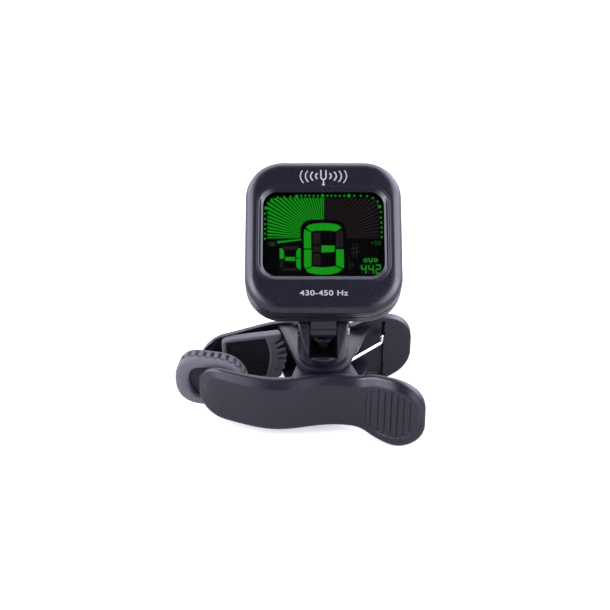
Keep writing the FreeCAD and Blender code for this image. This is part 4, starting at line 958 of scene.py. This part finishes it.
def half_outline(end_x):
    """Evenly spaced (x, z) from the tip round the +z flank to the finger end."""
    points = [(TIP_X, (NARROW_HALF - TIP_CORNER) * i / 12) for i in range(12)]
    for i in range(25):
        angle = math.radians(180 - 90 * i / 24)
        points.append((TIP_X + TIP_CORNER + TIP_CORNER * math.cos(angle),
                       NARROW_HALF - TIP_CORNER + TIP_CORNER * math.sin(angle)))
    corner_x = end_x - END_CORNER
    flare_x = corner_x - 9.6
    flare = spline([
        (flare_x - 3, NARROW_HALF), (flare_x, NARROW_HALF), (flare_x + 2.5, NARROW_HALF + 0.5),
        (flare_x + 4.5, NARROW_HALF + 1.5), (flare_x + 7.0, WIDE_HALF - 0.3),
        (corner_x, WIDE_HALF), (corner_x + 1.5, WIDE_HALF)])
    x = TIP_X + TIP_CORNER + 0.6
    while x < corner_x - 0.2:
        flared = min(max(flare(x), NARROW_HALF), WIDE_HALF)
        points.append((x, NARROW_HALF if x <= flare_x - 1 else flared))
        x += 0.5
    for i in range(31):
        angle = math.radians(90 - 90 * i / 30)
        points.append((corner_x + END_CORNER * math.cos(angle),
                       WIDE_HALF - END_CORNER + END_CORNER * math.sin(angle)))
    for i in range(1, 9):
        points.append((end_x, (WIDE_HALF - END_CORNER) * (1 - i / 8)))

    along = [0.0]
    for a, b in zip(points, points[1:]):
        along.append(along[-1] + math.hypot(b[0] - a[0], b[1] - a[1]))
    even, k = [], 0
    for i in range(OUTLINE_POINTS):
        target = along[-1] * i / (OUTLINE_POINTS - 1)
        while k < len(along) - 2 and along[k + 1] < target:
            k += 1
        t = (target - along[k]) / max(along[k + 1] - along[k], 1e-9)
        (x0, z0), (x1, z1) = points[k], points[k + 1]
        even.append((x0 + (x1 - x0) * t, z0 + (z1 - z0) * t))
    even[0], even[-1] = (TIP_X, 0.0), (end_x, 0.0)
    return even


def grip_depth(x, z):
    """Depth of the finger grip, x from its centre: an oval recess with upright grooves."""
    past_x = max(abs(x) - (GRIP_HALF_X - GRIP_CORNER), 0)
    past_z = max(abs(z) - (GRIP_HALF_Z - GRIP_CORNER), 0)
    inside = GRIP_CORNER - math.hypot(past_x, past_z)
    depth = GRIP_DEPTH * smooth(inside / 0.40)
    if inside > 0.2:
        for groove in GROOVES:
            shape = math.exp(-((x - groove) / GROOVE_WIDTH) ** 2)
            depth += GROOVE_DEPTH * shape * smooth((inside - 0.2) / 0.5)
    return depth


def add_ear(bm, z0, z1, lever):
    """A flat plate: the web's points, then round the boss on the far side, edges bevelled."""
    boss, web = lever["boss"], lever["web"]
    start, stop = [math.atan2(y, x) + turn * math.acos(boss / math.hypot(x, y))
                   for (x, y), turn in ((web[0], 1), (web[-1], -1))]
    while start < stop:
        start += 2 * math.pi
    span = 2 * math.pi - (start - stop)
    outline = list(web)
    for i in range(41):
        angle = stop - span * i / 40
        outline.append((boss * math.cos(angle), boss * math.sin(angle)))
    size = len(outline)
    mean_x = sum(p[0] for p in outline) / size
    mean_y = sum(p[1] for p in outline) / size
    inset = []
    for i, (x, y) in enumerate(outline):
        (x0, y0), (x1, y1) = outline[i - 1], outline[(i + 1) % size]
        length = math.hypot(x1 - x0, y1 - y0) or 1
        in_x, in_y = -(y1 - y0) / length, (x1 - x0) / length
        if (mean_x - x) * in_x + (mean_y - y) * in_y < 0:
            in_x, in_y = -in_x, -in_y
        inset.append((x + in_x * EAR_BEVEL, y + in_y * EAR_BEVEL))
    between = [((a[0] + 2 * b[0]) / 3, (a[1] + 2 * b[1]) / 3) for a, b in zip(inset, outline)]
    rows = []
    for z, points in ((z0, inset), (z0 + EAR_BEVEL * 0.3, between), (z0 + EAR_BEVEL, outline),
                      (z1 - EAR_BEVEL, outline), (z1 - EAR_BEVEL * 0.3, between), (z1, inset)):
        rows.append([bm.verts.new((x, lever["side"] * y, z)) for x, y in points])
    for row0, row1 in zip(rows, rows[1:]):
        for i in range(size):
            j = (i + 1) % size
            bm.faces.new((row0[i], row0[j], row1[j], row1[i]))
    ends = [bm.faces.new(rows[0]), bm.faces.new(rows[-1][::-1])]
    bmesh.ops.triangulate(bm, faces=ends)


def lever_surface(lever, outer_y):
    """Points and faces of the lever's plate: rounded outer face, rim and hollow inner side."""
    side = lever["side"]
    half = half_outline(lever["end_x"])
    outline = half + [(x, -z) for x, z in half[-2:0:-1]]
    count = len(outline)
    inward = []
    for i in range(count):
        (x0, z0), (x1, z1) = outline[i - 1], outline[(i + 1) % count]
        length = math.hypot(x1 - x0, z1 - z0)
        inward.append(((z1 - z0) / length, -(x1 - x0) / length))

    def rim(x):
        depth = interpolate(RIM_DEPTH, x)
        if lever["thinned"] and depth > THINNED_RIM:
            depth += (THINNED_RIM - depth) * (smooth((x + 27.6) / 0.5)
                                              * smooth((-7.2 - x) / 0.5))
        return depth

    def wall(x):
        """Thickness within the rim; it fills up to the rim beyond x = 15.3."""
        depth = rim(x)
        thin = min(WALL, depth)
        return thin + (depth - thin) * smooth((x - 15.3) / 0.35)

    def chamfer(x):
        return min(1.25, 0.5 * interpolate(RIM_DEPTH, x))

    def rounding(x, z, inset):
        wide = smooth((z + 3.0) / 5.0) if side < 0 else 0.0
        return chamfer(x) * (interpolate(WIDE_ROUNDING, inset) * wide
                             + interpolate(NARROW_ROUNDING, inset) * (1 - wide))

    def ring(inset, below):
        """The outline moved inwards, below(x, z) under the outer face."""
        points = []
        for (x, z), (in_x, in_z) in zip(outline, inward):
            x, z = x + in_x * inset, z + in_z * inset
            points.append((x, side * (outer_y(x) - below(x, z)), z))
        return points

    # (inset, depth below the outer face) over the rim and down into the hollow
    rim_steps = [
        (0.0, lambda x, z: max(rim(x) - 0.18, chamfer(x) + 0.42)),
        (0.05, lambda x, z: rim(x) - 0.06),
        (0.2, lambda x, z: rim(x)),
        (0.9, lambda x, z: rim(x)),
        (1.05, lambda x, z: rim(x) - min(0.06, rim(x) - wall(x))),
        (1.12, lambda x, z: rim(x) - min(0.2, rim(x) - wall(x))),
        (1.2, lambda x, z: wall(x) + min(0.12, rim(x) - wall(x))),
    ]
    rings = [ring(inset, lambda x, z: rounding(x, z, inset)) for inset in FACE_INSETS[::-1]]
    rings += [ring(inset, below) for inset, below in rim_steps]
    rings += [ring(inset, lambda x, z: wall(x)) for inset in FLOOR_INSETS]
    verts, faces = loft(rings, closed=False)

    def cap(base, below, steps=5):
        """Fill between the two long halves of the ring that starts at vertex base."""
        columns = []
        for i in range(len(half)):
            top, bottom = base + i, base + (count - i) % count
            if i in (0, len(half) - 1):
                columns.append([top] * (steps + 1))
                continue
            x0, _, z0 = verts[top]
            x1, _, z1 = verts[bottom]
            column = [top]
            for j in range(1, steps):
                t = j / steps
                x = x0 + (x1 - x0) * t
                verts.append((x, side * (outer_y(x) - below(x)), z0 + (z1 - z0) * t))
                column.append(len(verts) - 1)
            columns.append(column + [bottom])
        for a, b in zip(columns, columns[1:]):
            for j in range(steps):
                face = tuple(dict.fromkeys((a[j], a[j + 1], b[j + 1], b[j])))
                if len(face) > 2:
                    faces.append(face)

    cap(0, lambda x: 0.0)
    cap((len(rings) - 1) * count, wall)
    return verts, faces


def build_lever(name, lever, body, replaced):
    side, grip_x = lever["side"], lever["grip_x"]
    outer_y = spline(lever["outer_face"])
    verts, faces = lever_surface(lever, outer_y)
    mesh = bpy.data.meshes.new(name)
    mesh.from_pydata(verts, [], faces)
    bm = bmesh.new()
    bm.from_mesh(mesh)
    bmesh.ops.remove_doubles(bm, verts=bm.verts, dist=1e-4)

    def in_grip(vert):
        x, y, z = vert.co
        return (grip_x - 7.0 < x < grip_x + 7.0 and abs(z) < 8.2
                and abs(abs(y) - outer_y(x)) < 0.02)

    # a finer mesh under the grip, then its recess
    edges = [e for e in bm.edges if in_grip(e.verts[0]) and in_grip(e.verts[1])]
    bmesh.ops.subdivide_edges(bm, edges=edges, cuts=4, use_grid_fill=True)
    for vert in bm.verts:
        if in_grip(vert):
            x, _, z = vert.co
            vert.co.y = side * (outer_y(x) - grip_depth(x - grip_x, z))
    bmesh.ops.triangulate(bm, faces=[face for face in bm.faces if len(face.verts) > 4])
    for z0, z1 in lever["ears"]:
        add_ear(bm, z0, z1, lever)
    bmesh.ops.recalc_face_normals(bm, faces=bm.faces)
    for vert in bm.verts:
        vert.co = clip(vert.co)
    bm.to_mesh(mesh)
    bm.free()
    finish_piece(name, mesh, body, "lever_plastic", 40, (replaced,))


build_lever("rear_lever_shell", REAR_LEVER, "rear_clip", "rear_lever")
build_lever("front_lever_shell", FRONT_LEVER, "front_clip", "front_lever")


# ------------------------------------------------------------------ yoke, softened
def build_soft_yoke():
    name = "swivel_yoke_soft"
    work = bpy.data.objects.new(name + "_work", frame["nodes"]["swivel_yoke"].data.copy())
    scene.collection.objects.link(work)
    remesh = work.modifiers.new("remesh", "REMESH")
    remesh.mode = "VOXEL"
    remesh.voxel_size = 0.16 * MM
    soften = work.modifiers.new("soften", "SMOOTH")
    soften.factor = 0.5
    soften.iterations = 22
    depsgraph = bpy.context.evaluated_depsgraph_get()
    mesh = bpy.data.meshes.new_from_object(work.evaluated_get(depsgraph))
    bpy.data.objects.remove(work)
    mesh.name = name
    finish_piece(name, mesh, "swivel", "neck_plastic", 60, ("swivel_yoke",))


build_soft_yoke()


# ------------------------------------------------------------------ jaw rings
def radial(points):
    """Radius of a closed (x, z) line round the origin, as a function of angle."""
    table = sorted((math.atan2(z, x), math.hypot(x, z)) for x, z in points)
    before = (table[-1][0] - 2 * math.pi, table[-1][1])
    after = (table[0][0] + 2 * math.pi, table[0][1])
    table = [before] + table + [after]
    return lambda angle: interpolate(table, angle)


def even_angles(radius_at, count):
    """(angle, distance) pairs spaced evenly along a closed line, and the line's length."""
    angles = [-math.pi + 2 * math.pi * i / 4000 for i in range(4001)]
    points = [(radius_at(a) * math.cos(a), radius_at(a) * math.sin(a)) for a in angles]
    along = [0.0]
    for (x0, z0), (x1, z1) in zip(points, points[1:]):
        along.append(along[-1] + math.hypot(x1 - x0, z1 - z0))
    pairs, k = [], 0
    for i in range(count):
        distance = along[-1] * i / count
        while along[k + 1] < distance:
            k += 1
        pairs.append((angles[k], distance))
    return pairs, along[-1]


# Front ring: closed lines of (x, z), scaled to the pad's size
FRONT_SCALE_X, FRONT_SCALE_Z = 18.0 / 18.7, 14.4 / 15.2
FRONT_OUTER = [
    (-9.35, 0.0), (-8.9, 3.6), (-7.2, 6.3), (-4.6, 7.5), (-1.0, 7.6), (3.0, 7.4), (6.2, 6.2),
    (8.5, 3.6), (9.35, 0.6), (8.8, -3.0), (6.9, -5.9), (3.6, -7.4), (-1.0, -7.6),
    (-4.8, -7.4), (-7.4, -6.0), (-8.95, -3.3)]
FRONT_INNER = [
    (-5.9, 0.0), (-5.5, 2.6), (-4.2, 4.6), (-2.0, 5.3), (1.0, 5.3), (4.0, 4.7), (6.2, 3.2),
    (7.0, 0.6), (6.7, -2.2), (5.2, -4.4), (2.6, -5.5), (-1.0, -5.6), (-3.8, -5.1),
    (-5.4, -3.0)]
FRONT_CENTRE = (-27.85, -1.9)       # x, y
FRONT_TILT = Matrix.Rotation(math.radians(-9.5), 4, "Z")
RIB_PITCH = 1.98
# (kind, amount, y before scaling). Amount is an inset from the inner line for "inner", a share
# of the way from inner to outer line for "face", and an inset from the outer line otherwise.
# The ribs shift "edge" and "valley" rows to -y and fill the "groove" rows out.
FRONT_SECTION = [
    ("inner", 0.0, -1.90), ("inner", -0.12, -2.05), ("face", 0.45, -2.16),
    ("face", 0.75, -2.15), ("outer", 0.42, -2.10), ("outer", 0.14, -1.92),
    ("outer", 0.02, -1.62), ("outer", 0.0, -1.2), ("outer", 0.0, -0.85),
    ("edge", 0.03, -0.50), ("edge", 0.13, -0.38), ("valley", 0.52, -0.26),
    ("groove", 0.80, -0.08), ("groove", 0.82, 0.06), ("groove", 0.82, 0.5),
    ("groove", 0.82, 1.15), ("groove", 0.80, 1.36), ("outer", 0.40, 1.50),
    ("outer", 0.30, 1.62), ("outer", 0.32, 1.9), ("outer", 0.55, 2.12),
    ("inner", -0.3, 2.15), ("inner", 0.0, 2.05), ("inner", 0.0, 0.0)]
RIB_SHIFT = {"edge": 0.34, "valley": 0.26}


def closed_curve(points, steps=24):
    """Catmull-Rom curve through a closed line of the front ring."""
    scaled = [Vector((x * FRONT_SCALE_X, z * FRONT_SCALE_Z, 0)) for x, z in points]
    curve, size = [], len(scaled)
    for i in range(size):
        p = [scaled[(i + k) % size] for k in (-1, 0, 1, 2)]
        for j in range(steps):
            t = j / steps
            curve.append(0.5 * (2 * p[1] + (p[2] - p[0]) * t
                                + (2 * p[0] - 5 * p[1] + 4 * p[2] - p[3]) * t * t
                                + (3 * p[1] - p[0] - 3 * p[2] + p[3]) * t ** 3))
    return [(p.x, p.y) for p in curve]


def front_ring_point(kind, amount, y, outer, inner, rib):
    """(radius, y) of one section row."""
    scaled_y = y * (1.22 if y > 0 else 1.14) - RIB_SHIFT.get(kind, 0.0) * rib
    if kind == "inner":
        return inner - amount, scaled_y
    if kind == "face":
        return inner + (outer - inner) * amount, scaled_y
    if kind == "groove":
        if y < 0.1:
            scaled_y -= 0.22 * rib
        return outer - amount * (1 - 0.97 * rib), scaled_y
    return outer - amount, scaled_y


def place_front_ring(p):
    turned = FRONT_TILT @ Vector(p)
    return clip((turned.x + FRONT_CENTRE[0], turned.y + FRONT_CENTRE[1], turned.z))


def build_front_ring():
    outer_at = radial(closed_curve(FRONT_OUTER))
    inner_at = radial(closed_curve(FRONT_INNER))
    pairs, length = even_angles(outer_at, 420)
    ribs = round(length / RIB_PITCH)
    columns = []
    for angle, distance in pairs:
        phase = (distance / length * ribs) % 1.0
        rib = smooth((0.31 - abs(phase - 0.5)) / 0.10)
        columns.append((angle, outer_at(angle), inner_at(angle), rib))
    rings = []
    for row in FRONT_SECTION:
        ring = []
        for angle, outer, inner, rib in columns:
            radius, y = front_ring_point(*row, outer, inner, rib)
            ring.append((radius * math.cos(angle), y, radius * math.sin(angle)))
        rings.append(ring)
    make("front_jaw_ring", *loft(rings), place_front_ring, "front_jaw", "grey_rubber",
         "grey_rubber", 50, ("front_pad",))


build_front_ring()

# Rear ring: drawn from its straight end at x = 0 to its bowed, ribbed end
REAR_HALF, REAR_LENGTH = 7.2, 13.6
REAR_CENTRE_X = 6.8         # the angles run round this point
REAR_ORIGIN = (-25.3, 4.0)  # x, y
REAR_TILT = Matrix.Rotation(math.radians(10.4), 4, "Z")
BOW_HALF = 6.9              # half length in z of the bowed end
REAR_RIB_PITCH = 2.15
REAR_RIB_DEPTH = 2.15
REAR_INNER = [
    (0.95, -REAR_HALF + 0.95), (REAR_LENGTH - 2.6, -REAR_HALF + 0.95), (REAR_LENGTH - 1.7, -3),
    (REAR_LENGTH - 1.4, 0), (REAR_LENGTH - 1.7, 3), (REAR_LENGTH - 2.6, REAR_HALF - 0.95),
    (0.95, REAR_HALF - 0.95)]
# (kind, amount, y): "inner" grows from the inner line; "ribbed" and "base" are inset from the
# outer line, ribbed everywhere and base only between the ribs
REAR_SECTION = [
    ("inner", 0.0, 2.0), ("inner", 0.0, 0.15), ("inner", 0.05, 0.05), ("inner", 0.16, 0.0),
    ("inner", 0.5, -0.02), ("ribbed", 0.62, -0.02), ("ribbed", 0.36, 0.0),
    ("ribbed", 0.14, 0.07), ("ribbed", 0.03, 0.2), ("ribbed", 0.0, 0.38), ("ribbed", 0.0, 1.1),
    ("base", 0.34, 1.16), ("base", 0.30, 1.3), ("base", 0.30, 1.85), ("base", 0.42, 2.0)]


def rear_outline():
    def bowed(z):
        return REAR_LENGTH + 2.6 * (1 - (z / (REAR_HALF + 1.5)) ** 2) + 0.3

    end_zs = [-BOW_HALF + 2 * BOW_HALF * i / 24 for i in range(25)]
    return ([(1.2, -REAR_HALF), (REAR_LENGTH + 0.6, -REAR_HALF)]
            + [(bowed(z), z) for z in end_zs]
            + [(REAR_LENGTH + 0.6, REAR_HALF), (1.2, REAR_HALF), (0.25, REAR_HALF - 0.3),
               (0, REAR_HALF - 1.2), (0, -REAR_HALF + 1.2), (0.25, -REAR_HALF + 0.3)])


def rear_radial(points, steps):
    """Radius round the ring's centre, from a closed line cut into steps per side."""
    dense = []
    for (x0, z0), (x1, z1) in zip(points, points[1:] + points[:1]):
        dense += [(x0 + (x1 - x0) * i / steps - REAR_CENTRE_X, z0 + (z1 - z0) * i / steps)
                  for i in range(steps)]
    return radial(dense)


def build_rear_ring():
    outer_at = rear_radial(rear_outline(), 12)
    inner_at = rear_radial(REAR_INNER, 40)
    lever_y = spline(REAR_LEVER["outer_face"])
    columns = []
    for angle, _ in even_angles(outer_at, 520)[0]:
        outer = outer_at(angle)
        z = outer * math.sin(angle)
        rib = 1.0
        if outer * math.cos(angle) + REAR_CENTRE_X > REAR_LENGTH + 0.6 and abs(z) < BOW_HALF:
            phase = ((z + REAR_HALF - 0.75) / REAR_RIB_PITCH + 0.5) % 1.0
            rib = smooth((0.33 - abs(phase - 0.5)) / 0.18)
        columns.append((angle, outer, inner_at(angle), rib))
    rings = []
    for kind, amount, y in REAR_SECTION:
        ring = []
        for angle, outer, inner, rib in columns:
            if kind == "inner":
                radius = inner + amount
            elif kind == "ribbed":
                radius = outer - amount - REAR_RIB_DEPTH * (1 - rib)
            else:
                radius = outer - amount * (1 - rib) - (0.12 if y > 1.9 else 0)
            turned = REAR_TILT @ Vector((REAR_CENTRE_X + radius * math.cos(angle), y, 0))
            x = turned.x + REAR_ORIGIN[0]
            # the ring stops short of the lever's outer face
            limit = lever_y(x) - (1.56 if x > -27.3 else 1.8)
            ring.append((x, min(turned.y + REAR_ORIGIN[1], limit), radius * math.sin(angle)))
        rings.append(ring)
    # painted light: the rear ring wears the lighter copy of the grey rubber
    make("rear_jaw_ring", *loft(rings), clip, "rear_clip", "grey_rubber", "pale_rubber", 50,
         ("rear_pad",))


build_rear_ring()

# ------------------------------------------------------------------ spring
COIL_RADIUS, COIL_HALF = 3.4, 3.0       # COIL_HALF is half the coil's length along z
WIRE_RADIUS, WIRE_SIDES = 0.5, 14
LEG_X, REAR_LEG_Y, FRONT_LEG_Y = 15.0, 8.6, 12.4
HOOK = 2.2                              # turned end of each leg, along z
HOOK_BEND = 0.9


def leg_start(x, y, z):
    """Where a leg from (x, y) leaves the coil."""
    angle = math.atan2(y, x) + math.asin(COIL_RADIUS / math.hypot(x, y))
    return Vector((COIL_RADIUS * math.sin(angle), -COIL_RADIUS * math.cos(angle), z))


def bend(corner, before, after, size, steps=8):
    """Rounded corner between the directions to two neighbours."""
    to_before, to_after = (before - corner).normalized(), (after - corner).normalized()
    points = []
    for i in range(steps + 1):
        t = i / steps
        points.append((corner + to_before * size) * (1 - t) ** 2 + corner * 2 * t * (1 - t)
                      + (corner + to_after * size) * t ** 2)
    return points


def spring_path():
    """Front hook and leg, the coil from -z to +z, then rear leg and hook."""
    rear_start = leg_start(LEG_X, REAR_LEG_Y, COIL_HALF)
    front_start = leg_start(LEG_X, FRONT_LEG_Y, -COIL_HALF)
    front_start.y = -front_start.y
    rear_end = Vector((LEG_X, REAR_LEG_Y, COIL_HALF))
    front_end = Vector((LEG_X, -FRONT_LEG_Y, -COIL_HALF))
    rear_tip = Vector((LEG_X, REAR_LEG_Y, COIL_HALF + HOOK))
    front_tip = Vector((LEG_X, -FRONT_LEG_Y, -COIL_HALF - HOOK))

    path = [front_tip] + bend(front_end, front_tip, front_start, HOOK_BEND)
    path += [front_end.lerp(front_start, 0.06 + 0.92 * i / 12) for i in range(1, 12)]
    first = math.atan2(front_start.y, front_start.x)
    last = math.atan2(-rear_start.y, rear_start.x)
    turns = 5 - (math.degrees(first) + math.degrees(last)) / 360.0
    steps = int(turns * 48)
    for i in range(steps + 1):
        angle = first + 2 * math.pi * turns * i / steps
        path.append(Vector((COIL_RADIUS * math.cos(angle), COIL_RADIUS * math.sin(angle),
                            -COIL_HALF + 2 * COIL_HALF * i / steps)))
    path += [rear_start.lerp(rear_end, 0.02 + 0.92 * i / 12) for i in range(1, 12)]
    return path + bend(rear_end, rear_start, rear_tip, HOOK_BEND) + [rear_tip]


def build_spring():
    path = spring_path()
    rings = []
    normal = Vector((0, 1, 0))
    for i, point in enumerate(path):
        ahead = (path[min(i + 1, len(path) - 1)] - path[max(i - 1, 0)]).normalized()
        normal = (normal - ahead * normal.dot(ahead)).normalized()
        across = ahead.cross(normal)
        angles = [2 * math.pi * j / WIRE_SIDES for j in range(WIRE_SIDES)]
        rings.append([tuple(point + (normal * math.cos(a) + across * math.sin(a)) * WIRE_RADIUS)
                      for a in angles])

    def end_ring(ring, point, outward):
        """A smaller ring just past the wire's end, which rounds it off."""
        return [tuple(point + (Vector(p) - point) * 0.7 + outward * 0.16) for p in ring]

    rings = ([end_ring(rings[0], path[0], (path[0] - path[1]).normalized())] + rings
             + [end_ring(rings[-1], path[-1], (path[-1] - path[-2]).normalized())])
    verts, faces = loft(rings, closed=False)
    faces.append(tuple(range(WIRE_SIDES)))
    faces.append(tuple(range(len(verts) - 1, len(verts) - 1 - WIRE_SIDES, -1)))
    spring = make("torsion_spring_wire", verts, faces, clip, None, "bright_steel",
                  "bright_steel", 50, ("torsion_spring",))
    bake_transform(spring)


build_spring()


# ------------------------------------------------------------------ floor, light, camera
def build_floor():
    z = cad_box[0][2] - 0.00005
    mesh = bpy.data.meshes.new("floor")
    mesh.from_pydata([(-3, -3, z), (3, -3, z), (3, 3, z), (-3, 3, z)], [], [(0, 1, 2, 3)])
    floor = bpy.data.objects.new("floor", mesh)
    scene.collection.objects.link(floor)
    mat = Material("pale_floor")
    colour = mat.ramp(mat.noise(scale=40.0), low=(0.93, 0.93, 0.935), high=(0.95, 0.95, 0.955))
    # glows for the camera only
    seen = mat.node("ShaderNodeLightPath").outputs["Is Camera Ray"]
    mesh.materials.append(mat.done(
        Base_Color=colour, Roughness=0.8, Specular_IOR_Level=0.1, Emission_Color=(1, 1, 1, 1),
        Emission_Strength=mat.value(seen, low=0.0, high=0.5, start=0.0, end=1.0)))


def area_light(name, offset, width, height, power, colour):
    """A rectangular light, offset from the product's middle and aimed at it."""
    light = bpy.data.lights.new(name, "AREA")
    light.energy = power
    light.shape = "RECTANGLE"
    light.size = width
    light.size_y = height
    light.color = colour
    ob = bpy.data.objects.new(name, light)
    scene.collection.objects.link(ob)
    middle = PIVOT + Vector((0, 0, 0.015))
    ob.location = middle + Vector(offset)
    ob.rotation_mode = "QUATERNION"
    ob.rotation_quaternion = (middle - (middle + Vector(offset))).to_track_quat("-Z", "Y")


def build_world():
    """White to the camera; otherwise bright at the sides and behind, stronger in gloss."""
    world = bpy.data.worlds.new("studio")
    scene.world = world
    world.use_nodes = True
    graph = Graph(world.node_tree)
    studio = graph.tree.nodes["Background"]
    output = [n for n in graph.tree.nodes if n.type == "OUTPUT_WORLD"][0]
    direction = graph.node("ShaderNodeSeparateXYZ")
    graph.link(graph.node("ShaderNodeTexCoord").outputs["Generated"], direction.inputs[0])
    across, behind = direction.outputs["X"], direction.outputs["Y"]
    # the left side counts for less than the right
    sideways = graph.math("MAXIMUM", across, graph.math("MULTIPLY", across, -0.76))
    sides = graph.value(sideways, low=0.03, high=1.5, start=0.30, end=0.62,
                        interpolation="SMOOTHSTEP")
    rear = graph.value(behind, low=0.0, high=0.36, start=0.25, end=0.8,
                       interpolation="SMOOTHSTEP")
    glossy = graph.node("ShaderNodeLightPath").outputs["Is Glossy Ray"]
    gain = graph.value(glossy, low=1.0, high=4.2, start=0.0, end=1.0)
    studio.inputs["Color"].default_value = (0.93, 0.91, 1.13, 1)
    strength = graph.math("MULTIPLY", graph.math("ADD", sides, rear), gain)
    graph.link(strength, studio.inputs["Strength"])
    white = graph.node("ShaderNodeBackground")
    white.inputs["Color"].default_value = (1, 1, 1, 1)
    white.inputs["Strength"].default_value = 1.0
    seen = graph.node("ShaderNodeLightPath").outputs["Is Camera Ray"]
    mixed = graph.node("ShaderNodeMixShader")
    for i, source in enumerate((seen, studio.outputs[0], white.outputs[0])):
        graph.link(source, mixed.inputs[i])
    graph.link(mixed.outputs[0], output.inputs["Surface"])


def build_camera():
    """In front of the product, looking down at it."""
    elevation, distance = math.radians(38), 0.350
    aim = PIVOT + Vector((-0.0045, 0, 0.0218))
    back = Vector((0, -math.cos(elevation), math.sin(elevation)))
    lens = bpy.data.cameras.new("camera")
    camera = bpy.data.objects.new("camera", lens)
    scene.collection.objects.link(camera)
    lens.lens = 85
    lens.sensor_width = 36
    lens.clip_start = 0.01
    lens.clip_end = 10
    camera.location = aim + back * distance
    camera.rotation_mode = "QUATERNION"
    camera.rotation_quaternion = (-back).to_track_quat("-Z", "Y")
    scene.camera = camera


build_floor()
area_light("key_left", offset=(-0.45, -0.16, 0.30), width=0.22, height=0.36, power=2.0,
           colour=(0.95, 0.95, 1))
area_light("key_right", offset=(0.45, -0.12, 0.26), width=0.22, height=0.36, power=1.5,
           colour=(0.95, 0.95, 1))
area_light("top_back", offset=(0.0, 0.45, 0.30), width=0.6, height=0.2, power=1.2,
           colour=(0.97, 0.97, 1))
build_world()
scene.view_settings.view_transform = "Standard"
build_camera()
